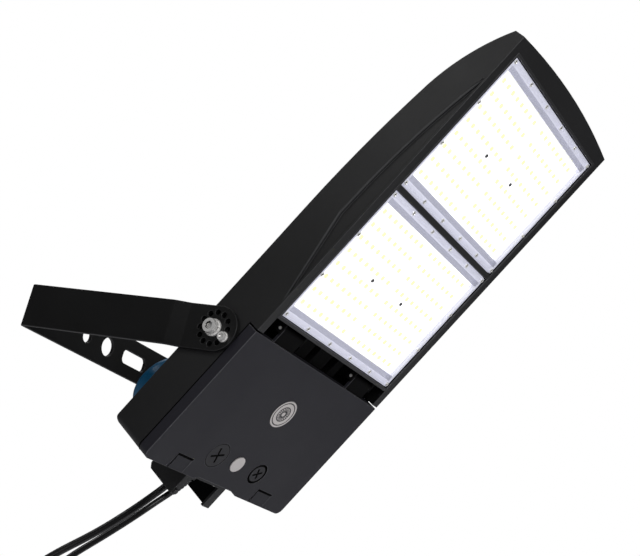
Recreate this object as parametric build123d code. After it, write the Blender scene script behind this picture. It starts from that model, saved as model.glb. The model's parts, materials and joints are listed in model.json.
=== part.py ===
from build123d import *
from math import asin, atan2, ceil, cos, degrees, floor, pi, radians, sin, sqrt, tan
import os

os.makedirs("parts", exist_ok=True)

# Sizes are in millimetres. The lamp is drawn in its own frame: x across its width, y from the
# driver end to the tip, and depth measured back from the flat front, so z is minus the depth.
# The whole part hangs on a wall plate: origin on the plate's outer face, +Y to the wall, +Z up.

# Lamp casting
lamp_width = 302.0
lamp_length = 600.0
tip_bulge = 8.5
tip_thickness = 8.0
lamp_depth = 63.5
plan_corner = 9.0
back_corner = 7.0
tip_taper = 100.0
back_bend_length = 187.0
back_bend_depth = 52.5
back_bend_end = lamp_length - tip_taper
back_bend_start = back_bend_end - back_bend_length
tip_curve_lift = 8.0
bend_curve_lift = 2.8

# Driver box, door and vent slot
box_length = 181.5
seam_depth = 14.4
seam_gap = 0.3
box_wall = 5.0
cheek_gap = 2.0
slot_length = 24.5
slot_end = box_length + slot_length
slot_floor = 50.0
slot_cheek = 12.0
rib_top = 12.5
rib_spans = [(-50.0, -28.0), (-15.0, 15.0), (30.0, 45.0)]
wire_duct_radius = 5.0
wire_duct_depth = 24.0
duct_wall = 3.0
wire_hole_radius = 4.0
wire_hole_inset = 8.0

# Light openings
pocket_width = 272.0
tray_lead = 4.4
pocket_tip_margin = 17.6
pocket_start = slot_end + tray_lead
pocket_end = lamp_length - pocket_tip_margin
centre_bar = 7.0
board_depth = 8.0
board_thickness = 1.6
base_thickness = 5.0
fin_pitch = 13.0
fin_thickness = 3.0
fin_end_margin = 18.0
casting_side_wall = 9.0

# Side scallop below the rim
rim_thickness = 2.5
scallop_depth = 4.0
scallop_lead = 17.6
scallop_rise = 116.0
scallop_crest = 9.0
scallop_peak_depth = 23.5
scallop_tip_margin = 60.0
scallop_fall_back = 105.0
scallop_fall_depth = 19.0
scallop_start = pocket_start + scallop_lead
scallop_peak = scallop_start + scallop_rise
scallop_end = lamp_length - scallop_tip_margin

# Lens plates, boards and light chips
lens_clearance = 0.3
lens_top = 1.5
lens_thickness = 3.0
lens_end_margin = 17.0
lens_side_margin = 14.0
gasket_band = 7.0
chip_size = 6.0
chip_height = 0.7
chip_rows = 8
chips_per_half_row = 8
chip_centre_gap = 26.0
chip_edge_gap = 8.0
lens_screw_radius = 1.5
lens_screw_head = 2.6
lens_screw_head_height = 1.4
screw_edge_inset = 4.8
side_screw_offset = 29.0
end_screw_offsets = [-79.9, -26.6, 26.6, 79.9]
board_screw_offset = 39.3
board_screw_head = 2.8
board_screw_head_height = 1.2
screw_tip_cover = 1.2
fit_clearance = 0.05
loose_clearance = 0.2

# Door furniture
door_skin = 3.0
notch_depth = 4.0
notch_cut_depth = 9.0
notch_floor = 2.0
notch_outer = (-51.0, 44.0)
notch_inner = (-41.0, 29.0)
grip_spans = [(-104.0, -74.0), (74.6, 107.0)]
grip_length = 21.0
grip_depth = 0.8
grip_slot_width = 2.4
grip_side_slot = 1.6
grip_slot_depth = 2.2
large_screw_place = (-43.3, 37.0)
large_screw_radius = 16.4
large_recess_radius = 16.9
large_cross = 21.0
small_screw_place = (48.0, 37.2)
small_screw_radius = 11.5
small_recess_radius = 14.3
small_cross = 15.0
cross_width = 2.6
cross_depth = 1.4
door_screw_head_height = 3.0
door_screw_shank = 3.0
door_screw_tip = 24.0
door_boss_depth = 8.0
recess_wall = 2.0
lug_top = 17.4
lug_bottom = 26.0
lug_half_width = 8.0
lug_lip = 2.0
screw_swing_clearance = 1.1
plug_place = (-0.5, 37.7)
plug_radius = 10.9
plug_stem_radius = 6.0
plug_head_height = 1.0
plug_nut_radius = 10.0
plug_nut_height = 4.0
disc_setback = 64.5
disc_place = (0.0, box_length - disc_setback)
disc_radius = 19.0
disc_recess = 1.2
disc_thickness = 1.6
disc_ring_radii = [16.5, 10.5]
disc_ring_width = 1.2
disc_ring_depth = 0.4
gasket_inset = 1.3
gasket_width = 2.4
gasket_groove = 1.6

# Door hinge in the vent slot
hinge_setback = 16.5
hinge_y = box_length + hinge_setback
hinge_depth = 7.0
hinge_pin_radius = 2.0
knuckle_radius = 5.0
hook_spans = [(-110.0, -68.0), (67.0, 111.0)]
hook_plate = 4.0
hinge_lug = 3.0
hinge_side_gap = 0.4
hinge_running = 0.06

# Yoke
yoke_reach = 269.0
strap_width = 51.0
strap_thickness = 5.0
ear_gap = 0.1
pad_height = 0.9
pad_radius = 23.5
joggle = 5.0
joggle_start = 37.0
joggle_end = 57.0
bend_inside = 3.0
joggle_bend_inside = 8.0
ear_lead = 4.0
pivot_from_end = 151.0
pivot_depth = 41.0
rest_angle = 123.0
index_circle = 18.0
index_count = 12
index_hole_radius = 3.3
index_angle = 87.0
centre_hole_radius = 12.0
side_hole_radius = 8.25
side_hole_x = -43.6
small_hole_radius = 4.75
small_hole_x = -83.6
slot_hole_x = 58.8
slot_hole_length = 50.0
slot_hole_width = 18.0
slot_hole_corner = 6.5

# Pivot hardware
pivot_screw_radius = 5.0
pivot_running = 0.08
pivot_tip_gap = 2.0
pivot_head_radius = 8.0
pivot_head_height = 6.0
pivot_socket_radius = 4.6
pivot_socket_depth = 3.5
pivot_boss_radius = 24.5
pivot_boss_thickness = 7.0
pivot_core_radius = 11.0
pivot_core_thickness = 20.0
pivot_washer_radius = 10.0
pivot_washer_thickness = 2.0
spring_washer_radius = 8.4
spring_washer_thickness = 2.4
spring_split_gap = 1.2
spring_split_angle = 25.0
index_screw_radius = 2.9
index_head_radius = 5.0
index_head_height = 4.0
index_socket_radius = 2.8
index_socket_depth = 2.2
index_washer_radius = 6.0
index_washer_thickness = 1.2
index_tip = 4.0
index_groove_depth = 7.0
index_groove_half_width = 3.3

# Cable neck under the driver end
neck_width = 83.5
neck_length = 34.0
neck_wall = 5.0
neck_lip = 14.0
neck_lip_thickness = 4.0
neck_lip_chamfer = 7.0
neck_taper_start = 9.0
neck_taper_end = 6.0
neck_base = 5.0
neck_corner = 5.0
neck_screw_radius = 2.5
neck_screw_head = 4.5
neck_screw_head_height = 2.6
neck_screw_places = [(-27.0, 24.0), (27.0, 24.0), (27.0, 50.0)]
lip_screw_place = (-38.2, -29.0)
lip_screw_head = 3.6
lip_screw_head_height = 2.6
lip_screw_shank = 1.5
lip_screw_proud = 2.0

# Cable glands and the cables' own sizes
power_diameter = 8.6
dimming_diameter = 7.2
power_gland_place = (-4.0, 48.5)
dimming_gland_place = (-13.0, 30.5)
gland_mouth = 14.0
gland_body_length = 4.5
gland_wall = 3.2
gland_hexagon = 2.0
gland_cap_hexagon = 1.6
gland_cap_height = 2.4
gland_cap_shoulder = 0.6
gland_lip = 1.2
cable_clearance = 0.1
locknut_height = 4.0
entry_tail = 12.0

# Photocell and its socket
cell_x = -26.5
cell_y = 37.0
cell_radius = 42.0
cell_top_depth = 142.0
cell_dome = 7.0
cell_base_radius = 40.0
cell_base_height = 9.0
cell_wall = 2.5
cell_roof = 3.5
cell_skirt_gap = 2.0
socket_flange_radius = 33.0
socket_flange_height = 7.0
socket_body_radius = 25.0
socket_body_depth = 18.0
socket_gasket_thickness = 1.5
cell_running = 0.1
blade_circle = 17.0
blade_thickness = 1.6
blade_sweep = 40.0
blade_angles = [90.0, 210.0, 330.0]
blade_depth = 14.0
cell_twist = 35.0
blade_clearance = 0.3
blade_end_gap = 2.0

# Parts inside the driver box
driver_size = (184.0, 64.0, 34.0)
driver_setback = 73.5
driver_y = box_length - driver_setback
driver_chamfer = 3.0
driver_foot = 9.0
driver_foot_width = 24.0
driver_foot_thickness = 2.0
surge_size = (40.0, 40.0, 24.0)
surge_place = (82.0, 38.0)
terminal_size = (44.0, 24.0, 16.0)
terminal_place = (-96.0, 30.0)
terminal_ways = 4
terminal_hole_radius = 2.2
terminal_hole_depth = 3.0
small_screw_head = 3.4
small_screw_head_height = 2.0
small_screw_shank = 1.6

# Put-away coils of both cables
power_coil_radius = 47.0
dimming_coil_radius = 39.0
coil_turn_gap = 0.7
coil_quarters = 8
bend_share = 0.45
tie_angles = [-90.0, -180.0]
tie_width = 4.0
tie_thickness = 1.2
tie_clearance = 0.25
tie_head = (6.0, 4.0, 5.0)
lead_radius = 1.35
lead_length = 42.0
lead_turn = 0.4
lead_unevenness = 0.15
lead_flare = 4.0
lead_end_flare = 5.0
bare_radius = 0.81
bare_end = 7.0

half_width = lamp_width / 2
housing_start = box_length + cheek_gap
board_back = board_depth + board_thickness
base_back = board_back + base_thickness
floor_depth = lamp_depth - box_wall
ear_inner = half_width + pad_height + ear_gap
ear_outer = ear_inner + strap_thickness
door_rim_depth = seam_depth - seam_gap

lamp_to_row = Pos(0, -yoke_reach, 0) * Rot(rest_angle, 0, 0) * Pos(0, -pivot_from_end, pivot_depth)


# Building blocks in the lamp frame
def block(x_range, y_range, depth_range):
    x0, x1 = x_range
    y0, y1 = y_range
    d0, d1 = depth_range
    return Pos((x0 + x1) / 2, (y0 + y1) / 2, -(d0 + d1) / 2) * Box(x1 - x0, y1 - y0, d1 - d0)


def post(place, radius, depth_range):
    d0, d1 = depth_range
    return Pos(place[0], place[1], -(d0 + d1) / 2) * Cylinder(radius, d1 - d0)


def sided(side, near, far):
    return tuple(sorted((side * near, side * far)))


def cross_bar(y, depth, radius, x_range):
    x0, x1 = x_range
    return Pos((x0 + x1) / 2, y, -depth) * Rot(0, 90, 0) * Cylinder(radius, x1 - x0)


def long_bar(place, radius, y_range):
    y0, y1 = y_range
    return Pos(place[0], (y0 + y1) / 2, -place[1]) * Rot(90, 0, 0) * Cylinder(radius, y1 - y0)


def hexagon_bar(place, corner_radius, y_range):
    y0, y1 = y_range
    hexagon = RegularPolygon(corner_radius, 6)
    return Pos(place[0], y1, -place[1]) * Rot(90, 0, 0) * extrude(hexagon, y1 - y0)


def slab(face, depth_range):
    d0, d1 = depth_range
    return Pos(0, 0, -d1) * extrude(face, d1 - d0)


def ring_slab(place, outer, inner, depth_range):
    return post(place, outer, depth_range) - post(place, inner, depth_range)


# Outlines of the lamp
def lamp_outline():
    sides = Polyline((half_width, lamp_length), (half_width, 0),
                     (-half_width, 0), (-half_width, lamp_length))
    tip = ThreePointArc((half_width, lamp_length), (0, lamp_length + tip_bulge), (-half_width, lamp_length))
    face = make_face(sides.edges() + tip.edges())
    return fillet(face.vertices().group_by(Axis.Y)[0], plan_corner)


def lamp_side():
    tip_y = lamp_length + tip_bulge
    bend_middle = ((back_bend_start + back_bend_end) / 2,
                   -(lamp_depth + back_bend_depth) / 2 - bend_curve_lift)
    tip_middle = ((back_bend_end + tip_y) / 2, -(back_bend_depth + tip_thickness) / 2 - tip_curve_lift)
    front = Polyline((back_bend_start, -lamp_depth), (0, -lamp_depth), (0, -seam_depth),
                     (housing_start, -seam_depth), (housing_start, 0), (tip_y, 0), (tip_y, -tip_thickness))
    tip = ThreePointArc((tip_y, -tip_thickness), tip_middle, (back_bend_end, -back_bend_depth))
    bend = ThreePointArc((back_bend_end, -back_bend_depth), bend_middle, (back_bend_start, -lamp_depth))
    face = make_face(front.edges() + tip.edges() + bend.edges())
    corner = face.vertices().sort_by_distance((0, -lamp_depth, 0))[0]
    return fillet(corner, back_corner)


def lamp_block():
    side = extrude(Plane.YZ * lamp_side(), half_width + 1, both=True)
    return side & slab(lamp_outline(), (0, lamp_depth))


def door_outline():
    face = Pos(0, box_length / 2) * Rectangle(lamp_width, box_length)
    return fillet(face.vertices().group_by(Axis.Y)[0], plan_corner)


def pocket_spans():
    middle = (pocket_start + pocket_end) / 2
    return [(pocket_start, middle - centre_bar / 2), (middle + centre_bar / 2, pocket_end)]


def lens_span(index):
    start, end = pocket_spans()[index]
    length = end - start - 2 * lens_clearance
    return start + lens_clearance, start + lens_clearance + length


def lens_screw_places(index):
    start, end = lens_span(index)
    middle = (start + end) / 2
    x_side = pocket_width / 2 - screw_edge_inset
    columns = [-x_side] + end_screw_offsets + [x_side]
    places = [(x, start + screw_edge_inset) for x in columns]
    places += [(x, end - screw_edge_inset) for x in columns]
    places += [(x, middle + y) for x in (-x_side, x_side) for y in (-side_screw_offset, side_screw_offset)]
    return places


def board_screw_places(index):
    start, end = lens_span(index)
    return [(x, (start + end) / 2) for x in (-board_screw_offset, board_screw_offset)]


def scallop(side):
    crest_start = (scallop_peak - scallop_crest, -scallop_peak_depth)
    crest_end = (scallop_peak + scallop_crest, -scallop_peak_depth)
    outline = Polyline((scallop_start, -rim_thickness), crest_start, crest_end)
    falling = ThreePointArc(crest_end, (scallop_end - scallop_fall_back, -scallop_fall_depth),
                            (scallop_end, -rim_thickness))
    closing = Line((scallop_end, -rim_thickness), (scallop_start, -rim_thickness))
    face = make_face(outline.edges() + falling.edges() + closing.edges())
    cut = extrude(Plane.YZ * face, scallop_depth + 1)
    shift = half_width - scallop_depth if side > 0 else -half_width - 1
    return Pos(shift, 0, 0) * cut


# The main casting: driver box, slot cheeks, light tray and fins in one piece
def lamp_housing():
    body = lamp_block()
    cavity_width = lamp_width - 2 * box_wall
    cavity_length = box_length - 2 * box_wall
    cavity_face = RectangleRounded(cavity_width, cavity_length, plan_corner - box_wall)
    body -= slab(Pos(0, box_length / 2) * cavity_face, (seam_depth - 1, floor_depth))
    slot_half = half_width - slot_cheek
    body -= block((-slot_half, slot_half), (box_length, slot_end), (-1, slot_floor))
    for start, end in pocket_spans():
        body -= block((-pocket_width / 2, pocket_width / 2), (start, end), (-1, board_back))
    fin_span = lamp_width - 2 * casting_side_wall
    groove = fin_pitch - fin_thickness
    grooves = floor((fin_span + fin_thickness) / fin_pitch)
    first = -(grooves - 1) * fin_pitch / 2
    fin_start = slot_end + box_wall
    fin_end = lamp_length - fin_end_margin
    cuts = [block((first + i * fin_pitch - groove / 2, first + i * fin_pitch + groove / 2),
                  (fin_start, fin_end), (base_back, lamp_depth + 5)) for i in range(grooves)]
    body -= cuts
    body -= [scallop(-1), scallop(1)]
    for x_range in rib_spans:
        body += block(x_range, (box_length, slot_end), (rib_top, slot_floor))
    for side in (-1, 1):
        for boss in pivot_bosses(side):
            body += boss
    for x, y in (large_screw_place, small_screw_place):
        body += block((x - lug_half_width, x + lug_half_width), (box_wall / 2, y + lug_half_width + lug_lip),
                      (lug_top, lug_bottom))
        body -= post((x, y), door_screw_shank + screw_swing_clearance, (lug_top - 1, lug_bottom + 1))
    for x0, x1 in hook_spans:
        for near, far in hinge_lugs(x0, x1):
            body += block((near, far), (hinge_y - knuckle_radius, slot_end + 1),
                          (hinge_depth - knuckle_radius, hinge_depth + knuckle_radius))
        pin_x = (x0 - hinge_side_gap - hinge_lug - 1, x1 + hinge_side_gap + hinge_lug + 1)
        body -= cross_bar(hinge_y, hinge_depth, hinge_pin_radius + fit_clearance / 2, pin_x)
    for side in (-1, 1):
        out = half_width + pad_height + 1
        screw_x = sided(side, half_width - box_wall - pivot_core_thickness - 1, out)
        body -= pivot_bar(pivot_screw_radius + fit_clearance / 2, screw_x)
        groove_x = sided(side, half_width + pad_height - index_groove_depth, out)
        body -= (pivot_bar(index_circle + index_groove_half_width, groove_x)
                 - pivot_bar(index_circle - index_groove_half_width, groove_x))
    duct_end = wire_hole_y() + wire_duct_radius
    duct_half = wire_duct_radius + duct_wall
    body += block((-duct_half, duct_half), (slot_end + 1, duct_end + duct_wall),
                  (base_back - 1, wire_duct_depth + duct_half))
    body -= long_bar((0, wire_duct_depth), wire_duct_radius, (box_length - box_wall - 1, duct_end))
    body -= post((0, wire_hole_y()), wire_hole_radius, (board_back - 1, wire_duct_depth))
    for index in (0, 1):
        for place in lens_screw_places(index) + board_screw_places(index):
            body -= post(place, lens_screw_radius + fit_clearance / 2, (board_back - 1, base_back - 1))
    groove_face = offset(door_outline(), -gasket_inset) - offset(door_outline(), -gasket_inset - gasket_width)
    body -= slab(groove_face, (seam_depth - 1, seam_depth + gasket_groove))
    body -= post((cell_x, cell_y), socket_body_radius + fit_clearance, (floor_depth - 1, lamp_depth + 1))
    for place, diameter in glands():
        body -= long_bar(place, gland_thread(diameter) + fit_clearance, (-1, box_wall + 1))
    for place in neck_screw_places:
        body -= long_bar(place, neck_screw_radius + fit_clearance / 2, (-1, box_wall + 1))
    return body


def pivot_bar(radius, x_range):
    return cross_bar(pivot_from_end, pivot_depth, radius, x_range)


# Inner boss, its core and the outer pad that the yoke's ear lies against
def pivot_bosses(side):
    wall = half_width - box_wall / 2
    boss = pivot_bar(pivot_boss_radius, sided(side, half_width - box_wall - pivot_boss_thickness, wall))
    core = pivot_bar(pivot_core_radius, sided(side, half_width - box_wall - pivot_core_thickness, wall))
    pad_x = sided(side, wall, half_width + pad_height)
    pad = pivot_bar(pad_radius, pad_x) & block(pad_x, (box_wall, box_length), (seam_depth, lamp_depth))
    return boss & lamp_block(), core, pad


def wire_hole_y():
    return pocket_start + wire_hole_inset


def hinge_lugs(x0, x1):
    near = x0 - hinge_side_gap
    far = x1 + hinge_side_gap
    return [(near - hinge_lug, near), (far, far + hinge_lug)]


def glands():
    return [(power_gland_place, power_diameter), (dimming_gland_place, dimming_diameter)]


def gland_thread(diameter):
    return diameter / 2 + gland_wall


# Door pan with its hooks
def driver_door():
    outer = door_outline()
    inner = offset(outer, -box_wall)
    door = slab(outer, (0, door_rim_depth)) - slab(inner, (door_skin, door_rim_depth + 1))
    notch = make_face(Polyline((notch_outer[0], -1), (notch_outer[0], 0), (notch_inner[0], notch_depth),
                               (notch_inner[1], notch_depth), (notch_outer[1], 0),
                               (notch_outer[1], -1), close=True))
    notch_back = notch_cut_depth + notch_floor
    door += block(notch_outer, (box_wall - 1, notch_depth + box_wall), (door_skin - 1, notch_back))
    door -= slab(notch, (-1, notch_cut_depth))
    for x0, x1 in grip_spans:
        wedge = Polyline((-1, 1), (grip_length, 1), (grip_length, -grip_depth), (-1, 0), close=True)
        door -= Pos(x0, 0, 0) * extrude(Plane.YZ * make_face(wedge), x1 - x0)
        door -= block((x0, x1), (grip_length - grip_slot_width, grip_length), (-1, grip_slot_depth))
        door -= block((x0, x0 + grip_side_slot), (box_wall, grip_length), (-1, grip_slot_depth))
    for place, recess in ((large_screw_place, large_recess_radius),
                          (small_screw_place, small_recess_radius)):
        door += post(place, recess + recess_wall, (door_skin - 1, door_boss_depth))
        door -= post(place, recess, (-1, door_screw_head_height + loose_clearance))
        door -= post(place, door_screw_shank + loose_clearance, (0, door_boss_depth + 1))
    door -= post(plug_place, plug_stem_radius + fit_clearance, (-1, door_skin + 1))
    door -= post(disc_place, disc_radius + loose_clearance, (-1, disc_recess))
    hook_top = hinge_depth - knuckle_radius
    for x0, x1 in hook_spans:
        hook = block((x0, x1), (box_length - 1, hinge_y), (hook_top, hook_top + hook_plate))
        hook += cross_bar(hinge_y, hinge_depth, knuckle_radius, (x0, x1))
        hook -= cross_bar(hinge_y, hinge_depth, hinge_pin_radius + hinge_running, (x0 - 1, x1 + 1))
        door += hook
    return door


def cross_slot(place, length, turn):
    bar = Box(length, cross_width, 2 * cross_depth)
    return Pos(place[0], place[1], 0) * Rot(0, 0, turn) * (bar + Rot(0, 0, 90) * bar)


def door_screw(place, radius, cross, turn):
    head = post(place, radius, (loose_clearance, door_screw_head_height + loose_clearance))
    shank = post(place, door_screw_shank, (door_screw_head_height, door_screw_tip))
    return head + shank - cross_slot(place, cross, turn)


def door_vent_plug():
    head = post(plug_place, plug_radius, (-plug_head_height, 0))
    stem = post(plug_place, plug_stem_radius, (0, door_skin + plug_nut_height + 1))
    return head + stem


def door_plug_nut():
    hexagon = Pos(*plug_place) * RegularPolygon(plug_nut_radius, 6)
    nut = slab(hexagon, (door_skin, door_skin + plug_nut_height))
    return nut - post(plug_place, plug_stem_radius + fit_clearance, (0, 20))


def door_disc():
    disc = post(disc_place, disc_radius, (disc_recess - disc_thickness, disc_recess))
    for radius in disc_ring_radii:
        top = disc_recess - disc_thickness
        disc -= ring_slab(disc_place, radius, radius - disc_ring_width, (top - 1, top + disc_ring_depth))
    return disc


def door_gasket():
    near = gasket_inset + fit_clearance
    far = gasket_inset + gasket_width - fit_clearance
    face = offset(door_outline(), -near) - offset(door_outline(), -far)
    return slab(face, (door_rim_depth + fit_clearance, seam_depth + gasket_groove))


def hinge_pins():
    reach = hinge_side_gap + hinge_lug
    return [cross_bar(hinge_y, hinge_depth, hinge_pin_radius, (x0 - reach, x1 + reach))
            for x0, x1 in hook_spans]


# Light boards, lenses and their screws
def led_board(index):
    start, end = lens_span(index)
    x = pocket_width / 2 - lens_clearance
    board = block((-x, x), (start, end), (board_depth, board_back))
    for place in lens_screw_places(index) + board_screw_places(index):
        board -= post(place, lens_screw_radius + loose_clearance, (board_depth - 1, board_back + 1))
    if index == 0:
        board -= post((0, wire_hole_y()), wire_hole_radius, (board_depth - 1, board_back + 1))
    return board


def chip_places(index):
    start, end = lens_span(index)
    length = end - start - 2 * (lens_end_margin + chip_edge_gap)
    row_pitch = length / (chip_rows - 1)
    x_edge = pocket_width / 2 - lens_side_margin - chip_edge_gap
    column_pitch = (x_edge - chip_centre_gap / 2) / (chips_per_half_row - 1)
    first_y = start + lens_end_margin + chip_edge_gap
    return [(side * (chip_centre_gap / 2 + column * column_pitch), first_y + row * row_pitch)
            for row in range(chip_rows) for side in (-1, 1) for column in range(chips_per_half_row)]


def led_chips(index):
    half = chip_size / 2
    return [block((x - half, x + half), (y - half, y + half), (board_depth - chip_height, board_depth))
            for x, y in chip_places(index)]


def lens(index):
    start, end = lens_span(index)
    x = pocket_width / 2 - lens_clearance
    plate = block((-x, x), (start, end), (lens_top, lens_top + lens_thickness))
    for place in lens_screw_places(index):
        plate -= post(place, lens_screw_radius + loose_clearance, (0, lens_top + lens_thickness + 1))
    return plate


def lens_gasket(index):
    start, end = lens_span(index)
    x = pocket_width / 2 - lens_clearance - loose_clearance
    near = start + loose_clearance
    far = end - loose_clearance
    top = lens_top + lens_thickness
    band = block((-x, x), (near, far), (top, board_depth))
    band -= block((gasket_band - x, x - gasket_band), (near + gasket_band, far - gasket_band),
                  (top - 1, board_depth + 1))
    for place in lens_screw_places(index):
        band -= post(place, lens_screw_radius + loose_clearance, (top - 1, board_depth + 1))
    return band


def lens_screws():
    screws = []
    for index in (0, 1):
        for place in lens_screw_places(index):
            head = post(place, lens_screw_head, (lens_top - lens_screw_head_height, lens_top))
            screws.append(head + post(place, lens_screw_radius, (lens_top, base_back - screw_tip_cover)))
    return screws


def board_screws():
    screws = []
    for index in (0, 1):
        for place in board_screw_places(index):
            head = post(place, board_screw_head, (board_depth - board_screw_head_height, board_depth))
            screws.append(head + post(place, lens_screw_radius, (board_depth, base_back - screw_tip_cover)))
    return screws


# Yoke strap, bent from one bar
def yoke_bracket():
    web = yoke_reach
    arm = ear_outer + joggle
    turn = atan2(joggle, joggle_end - joggle_start)
    step = strap_thickness * tan(turn / 2)
    inner_arm = arm - strap_thickness
    low = -ear_lead - strap_width / 2
    r_in = joggle_bend_inside
    r_out = joggle_bend_inside + strap_thickness
    outer = [(-ear_outer, low), (-ear_outer, joggle_start), (-arm, joggle_end), (-arm, web),
             (arm, web), (arm, joggle_end), (ear_outer, joggle_start), (ear_outer, low)]
    inner = [(-ear_inner, low), (-ear_inner, joggle_start + step), (-inner_arm, joggle_end + step),
             (-inner_arm, web - strap_thickness), (inner_arm, web - strap_thickness),
             (inner_arm, joggle_end + step), (ear_inner, joggle_start + step), (ear_inner, low)]
    r_web = bend_inside + strap_thickness
    outside = FilletPolyline(*outer, radius=[r_in, r_out, r_web, r_web, r_out, r_in])
    inside = FilletPolyline(*inner, radius=[r_out, r_in, bend_inside, bend_inside, r_in, r_out])
    ends = [Line(outer[0], inner[0]), Line(outer[-1], inner[-1])]
    face = make_face(outside.edges() + inside.edges() + ends[0].edges() + ends[1].edges())
    strap = extrude(face, strap_width / 2, both=True)
    edge = strap_width / 2 + 1
    nose = make_face(Polyline((-ear_lead, edge), (web + 1, edge), (web + 1, -edge),
                              (-ear_lead, -edge), close=True))
    nose += Pos(-ear_lead, 0) * Circle(strap_width / 2)
    strap &= extrude(Plane.YZ * nose, arm + 1, both=True)
    shape = Pos(0, -yoke_reach, 0) * strap
    cuts = [pivot_hole(pivot_screw_radius + pivot_running, 0, 0, arm)]
    for i in range(index_count):
        angle = radians(i * 360 / index_count)
        cuts.append(pivot_hole(index_hole_radius, index_circle * cos(angle), index_circle * sin(angle), arm))
    shape -= cuts
    for x, radius in ((0, centre_hole_radius), (side_hole_x, side_hole_radius),
                      (small_hole_x, small_hole_radius)):
        shape -= Pos(x, 0, 0) * Rot(90, 0, 0) * Cylinder(radius, 3 * strap_thickness)
    slot_face = RectangleRounded(slot_hole_length, slot_hole_width, slot_hole_corner)
    shape -= Pos(slot_hole_x, strap_thickness, 0) * Rot(90, 0, 0) * extrude(slot_face, 3 * strap_thickness)
    return shape


def pivot_hole(radius, y, z, reach):
    return Pos(0, -yoke_reach + y, z) * Rot(0, 90, 0) * Cylinder(radius, 2 * reach + 2)


def row_disc(y, z, radius, x_range):
    x0, x1 = x_range
    return Pos((x0 + x1) / 2, -yoke_reach + y, z) * Rot(0, 90, 0) * Cylinder(radius, x1 - x0)


def row_socket(y, z, radius, x_range):
    x0, x1 = x_range
    return Pos(x0, -yoke_reach + y, z) * Rot(0, 90, 0) * extrude(RegularPolygon(radius, 6), x1 - x0)


def index_place():
    angle = radians(rest_angle + index_angle)
    steps = round(degrees(angle) / (360 / index_count))
    snapped = radians(steps * 360 / index_count)
    return index_circle * cos(snapped), index_circle * sin(snapped)


def pivot_stack():
    washer = ear_outer + ear_gap + pivot_washer_thickness
    spring = washer + spring_washer_thickness
    return washer, spring, spring + pivot_head_height


def pivot_washers():
    top = pivot_stack()[0]
    bore = pivot_screw_radius + loose_clearance
    return [row_disc(0, 0, pivot_washer_radius, sided(s, ear_outer + ear_gap, top))
            - row_disc(0, 0, bore, sided(s, ear_outer, top + 1)) for s in (-1, 1)]


def spring_washers():
    low, top = pivot_stack()[:2]
    band = spring_washer_radius - pivot_screw_radius
    rings = []
    for s in (-1, 1):
        ring = row_disc(0, 0, spring_washer_radius, sided(s, low, top))
        ring -= row_disc(0, 0, pivot_screw_radius + loose_clearance, sided(s, low - 1, top + 1))
        split = Rot(0, 0, s * spring_split_angle) * Box(3 * band, 2 * band, spring_split_gap)
        rings.append(ring - Pos(s * (low + top) / 2, -yoke_reach - pivot_screw_radius - band / 2, 0) * split)
    return rings


def pivot_screws():
    spring, head = pivot_stack()[1:]
    screws = []
    tip = half_width - box_wall - pivot_core_thickness + pivot_tip_gap
    for s in (-1, 1):
        screw = row_disc(0, 0, pivot_screw_radius, sided(s, tip, spring))
        screw += row_disc(0, 0, pivot_head_radius, sided(s, spring, head))
        screw -= row_socket(0, 0, pivot_socket_radius, sided(s, head - pivot_socket_depth, head + 1))
        screws.append(screw)
    return screws


def index_washers():
    y, z = index_place()
    outer = ear_outer + index_washer_thickness
    return [row_disc(y, z, index_washer_radius, sided(s, ear_outer, outer))
            - row_disc(y, z, index_screw_radius + loose_clearance, sided(s, ear_outer - 1, outer + 1))
            for s in (-1, 1)]


def index_screws():
    y, z = index_place()
    seat = ear_outer + index_washer_thickness
    tip = half_width + pad_height - index_tip
    screws = []
    for s in (-1, 1):
        screw = row_disc(y, z, index_screw_radius, sided(s, tip, seat))
        head = seat + index_head_height
        screw += row_disc(y, z, index_head_radius, sided(s, seat, head))
        screw -= row_socket(y, z, index_socket_radius, sided(s, head - index_socket_depth, head + 1))
        screws.append(screw)
    return screws


# Neck channel, open at its lower end and between its front lips
def cable_neck():
    half = neck_width / 2
    neck = block((-half, half), (-neck_length, 0), (seam_depth, lamp_depth))
    neck -= block((-half + neck_wall, half - neck_wall), (-neck_length - 1, -neck_base),
                  (seam_depth + neck_lip_thickness, lamp_depth - neck_wall))
    neck -= block((-half + neck_lip, half - neck_lip), (-neck_length - 1, -neck_base),
                  (seam_depth - 1, seam_depth + neck_lip_thickness + 1))
    low = -neck_length
    lip_x = neck_lip - half
    thin_x = neck_lip_chamfer - half
    taper = make_face(Polyline((lip_x + 1, -neck_taper_start), (lip_x, -neck_taper_start),
                               (thin_x, low + neck_taper_end), (thin_x, low - 1),
                               (lip_x + 1, low - 1), close=True))
    neck -= slab(taper, (seam_depth - 1, seam_depth + neck_lip_thickness + 1))
    edge = neck_corner * sqrt(2)
    neck -= Pos(0, low, -lamp_depth) * Rot(45, 0, 0) * Box(neck_width + 2, edge, edge)
    for place, diameter in glands():
        neck -= long_bar(place, gland_thread(diameter) + fit_clearance, (-neck_base - 1, 1))
    for place in neck_screw_places:
        neck -= long_bar(place, neck_screw_radius + loose_clearance, (-neck_base - 1, 1))
    neck -= post(lip_screw_place, lip_screw_shank + fit_clearance / 2, (seam_depth - 1, lip_screw_end() + 1))
    return neck


def neck_screws():
    return [long_bar(place, neck_screw_head, (-neck_base - neck_screw_head_height, -neck_base))
            + long_bar(place, neck_screw_radius, (-neck_base, box_wall)) for place in neck_screw_places]


def neck_lip_screw():
    head = post(lip_screw_place, lip_screw_head, (seam_depth - lip_screw_head_height, seam_depth))
    return head + post(lip_screw_place, lip_screw_shank, (seam_depth, lip_screw_end()))


def lip_screw_end():
    return seam_depth + neck_lip_thickness + lip_screw_proud


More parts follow.
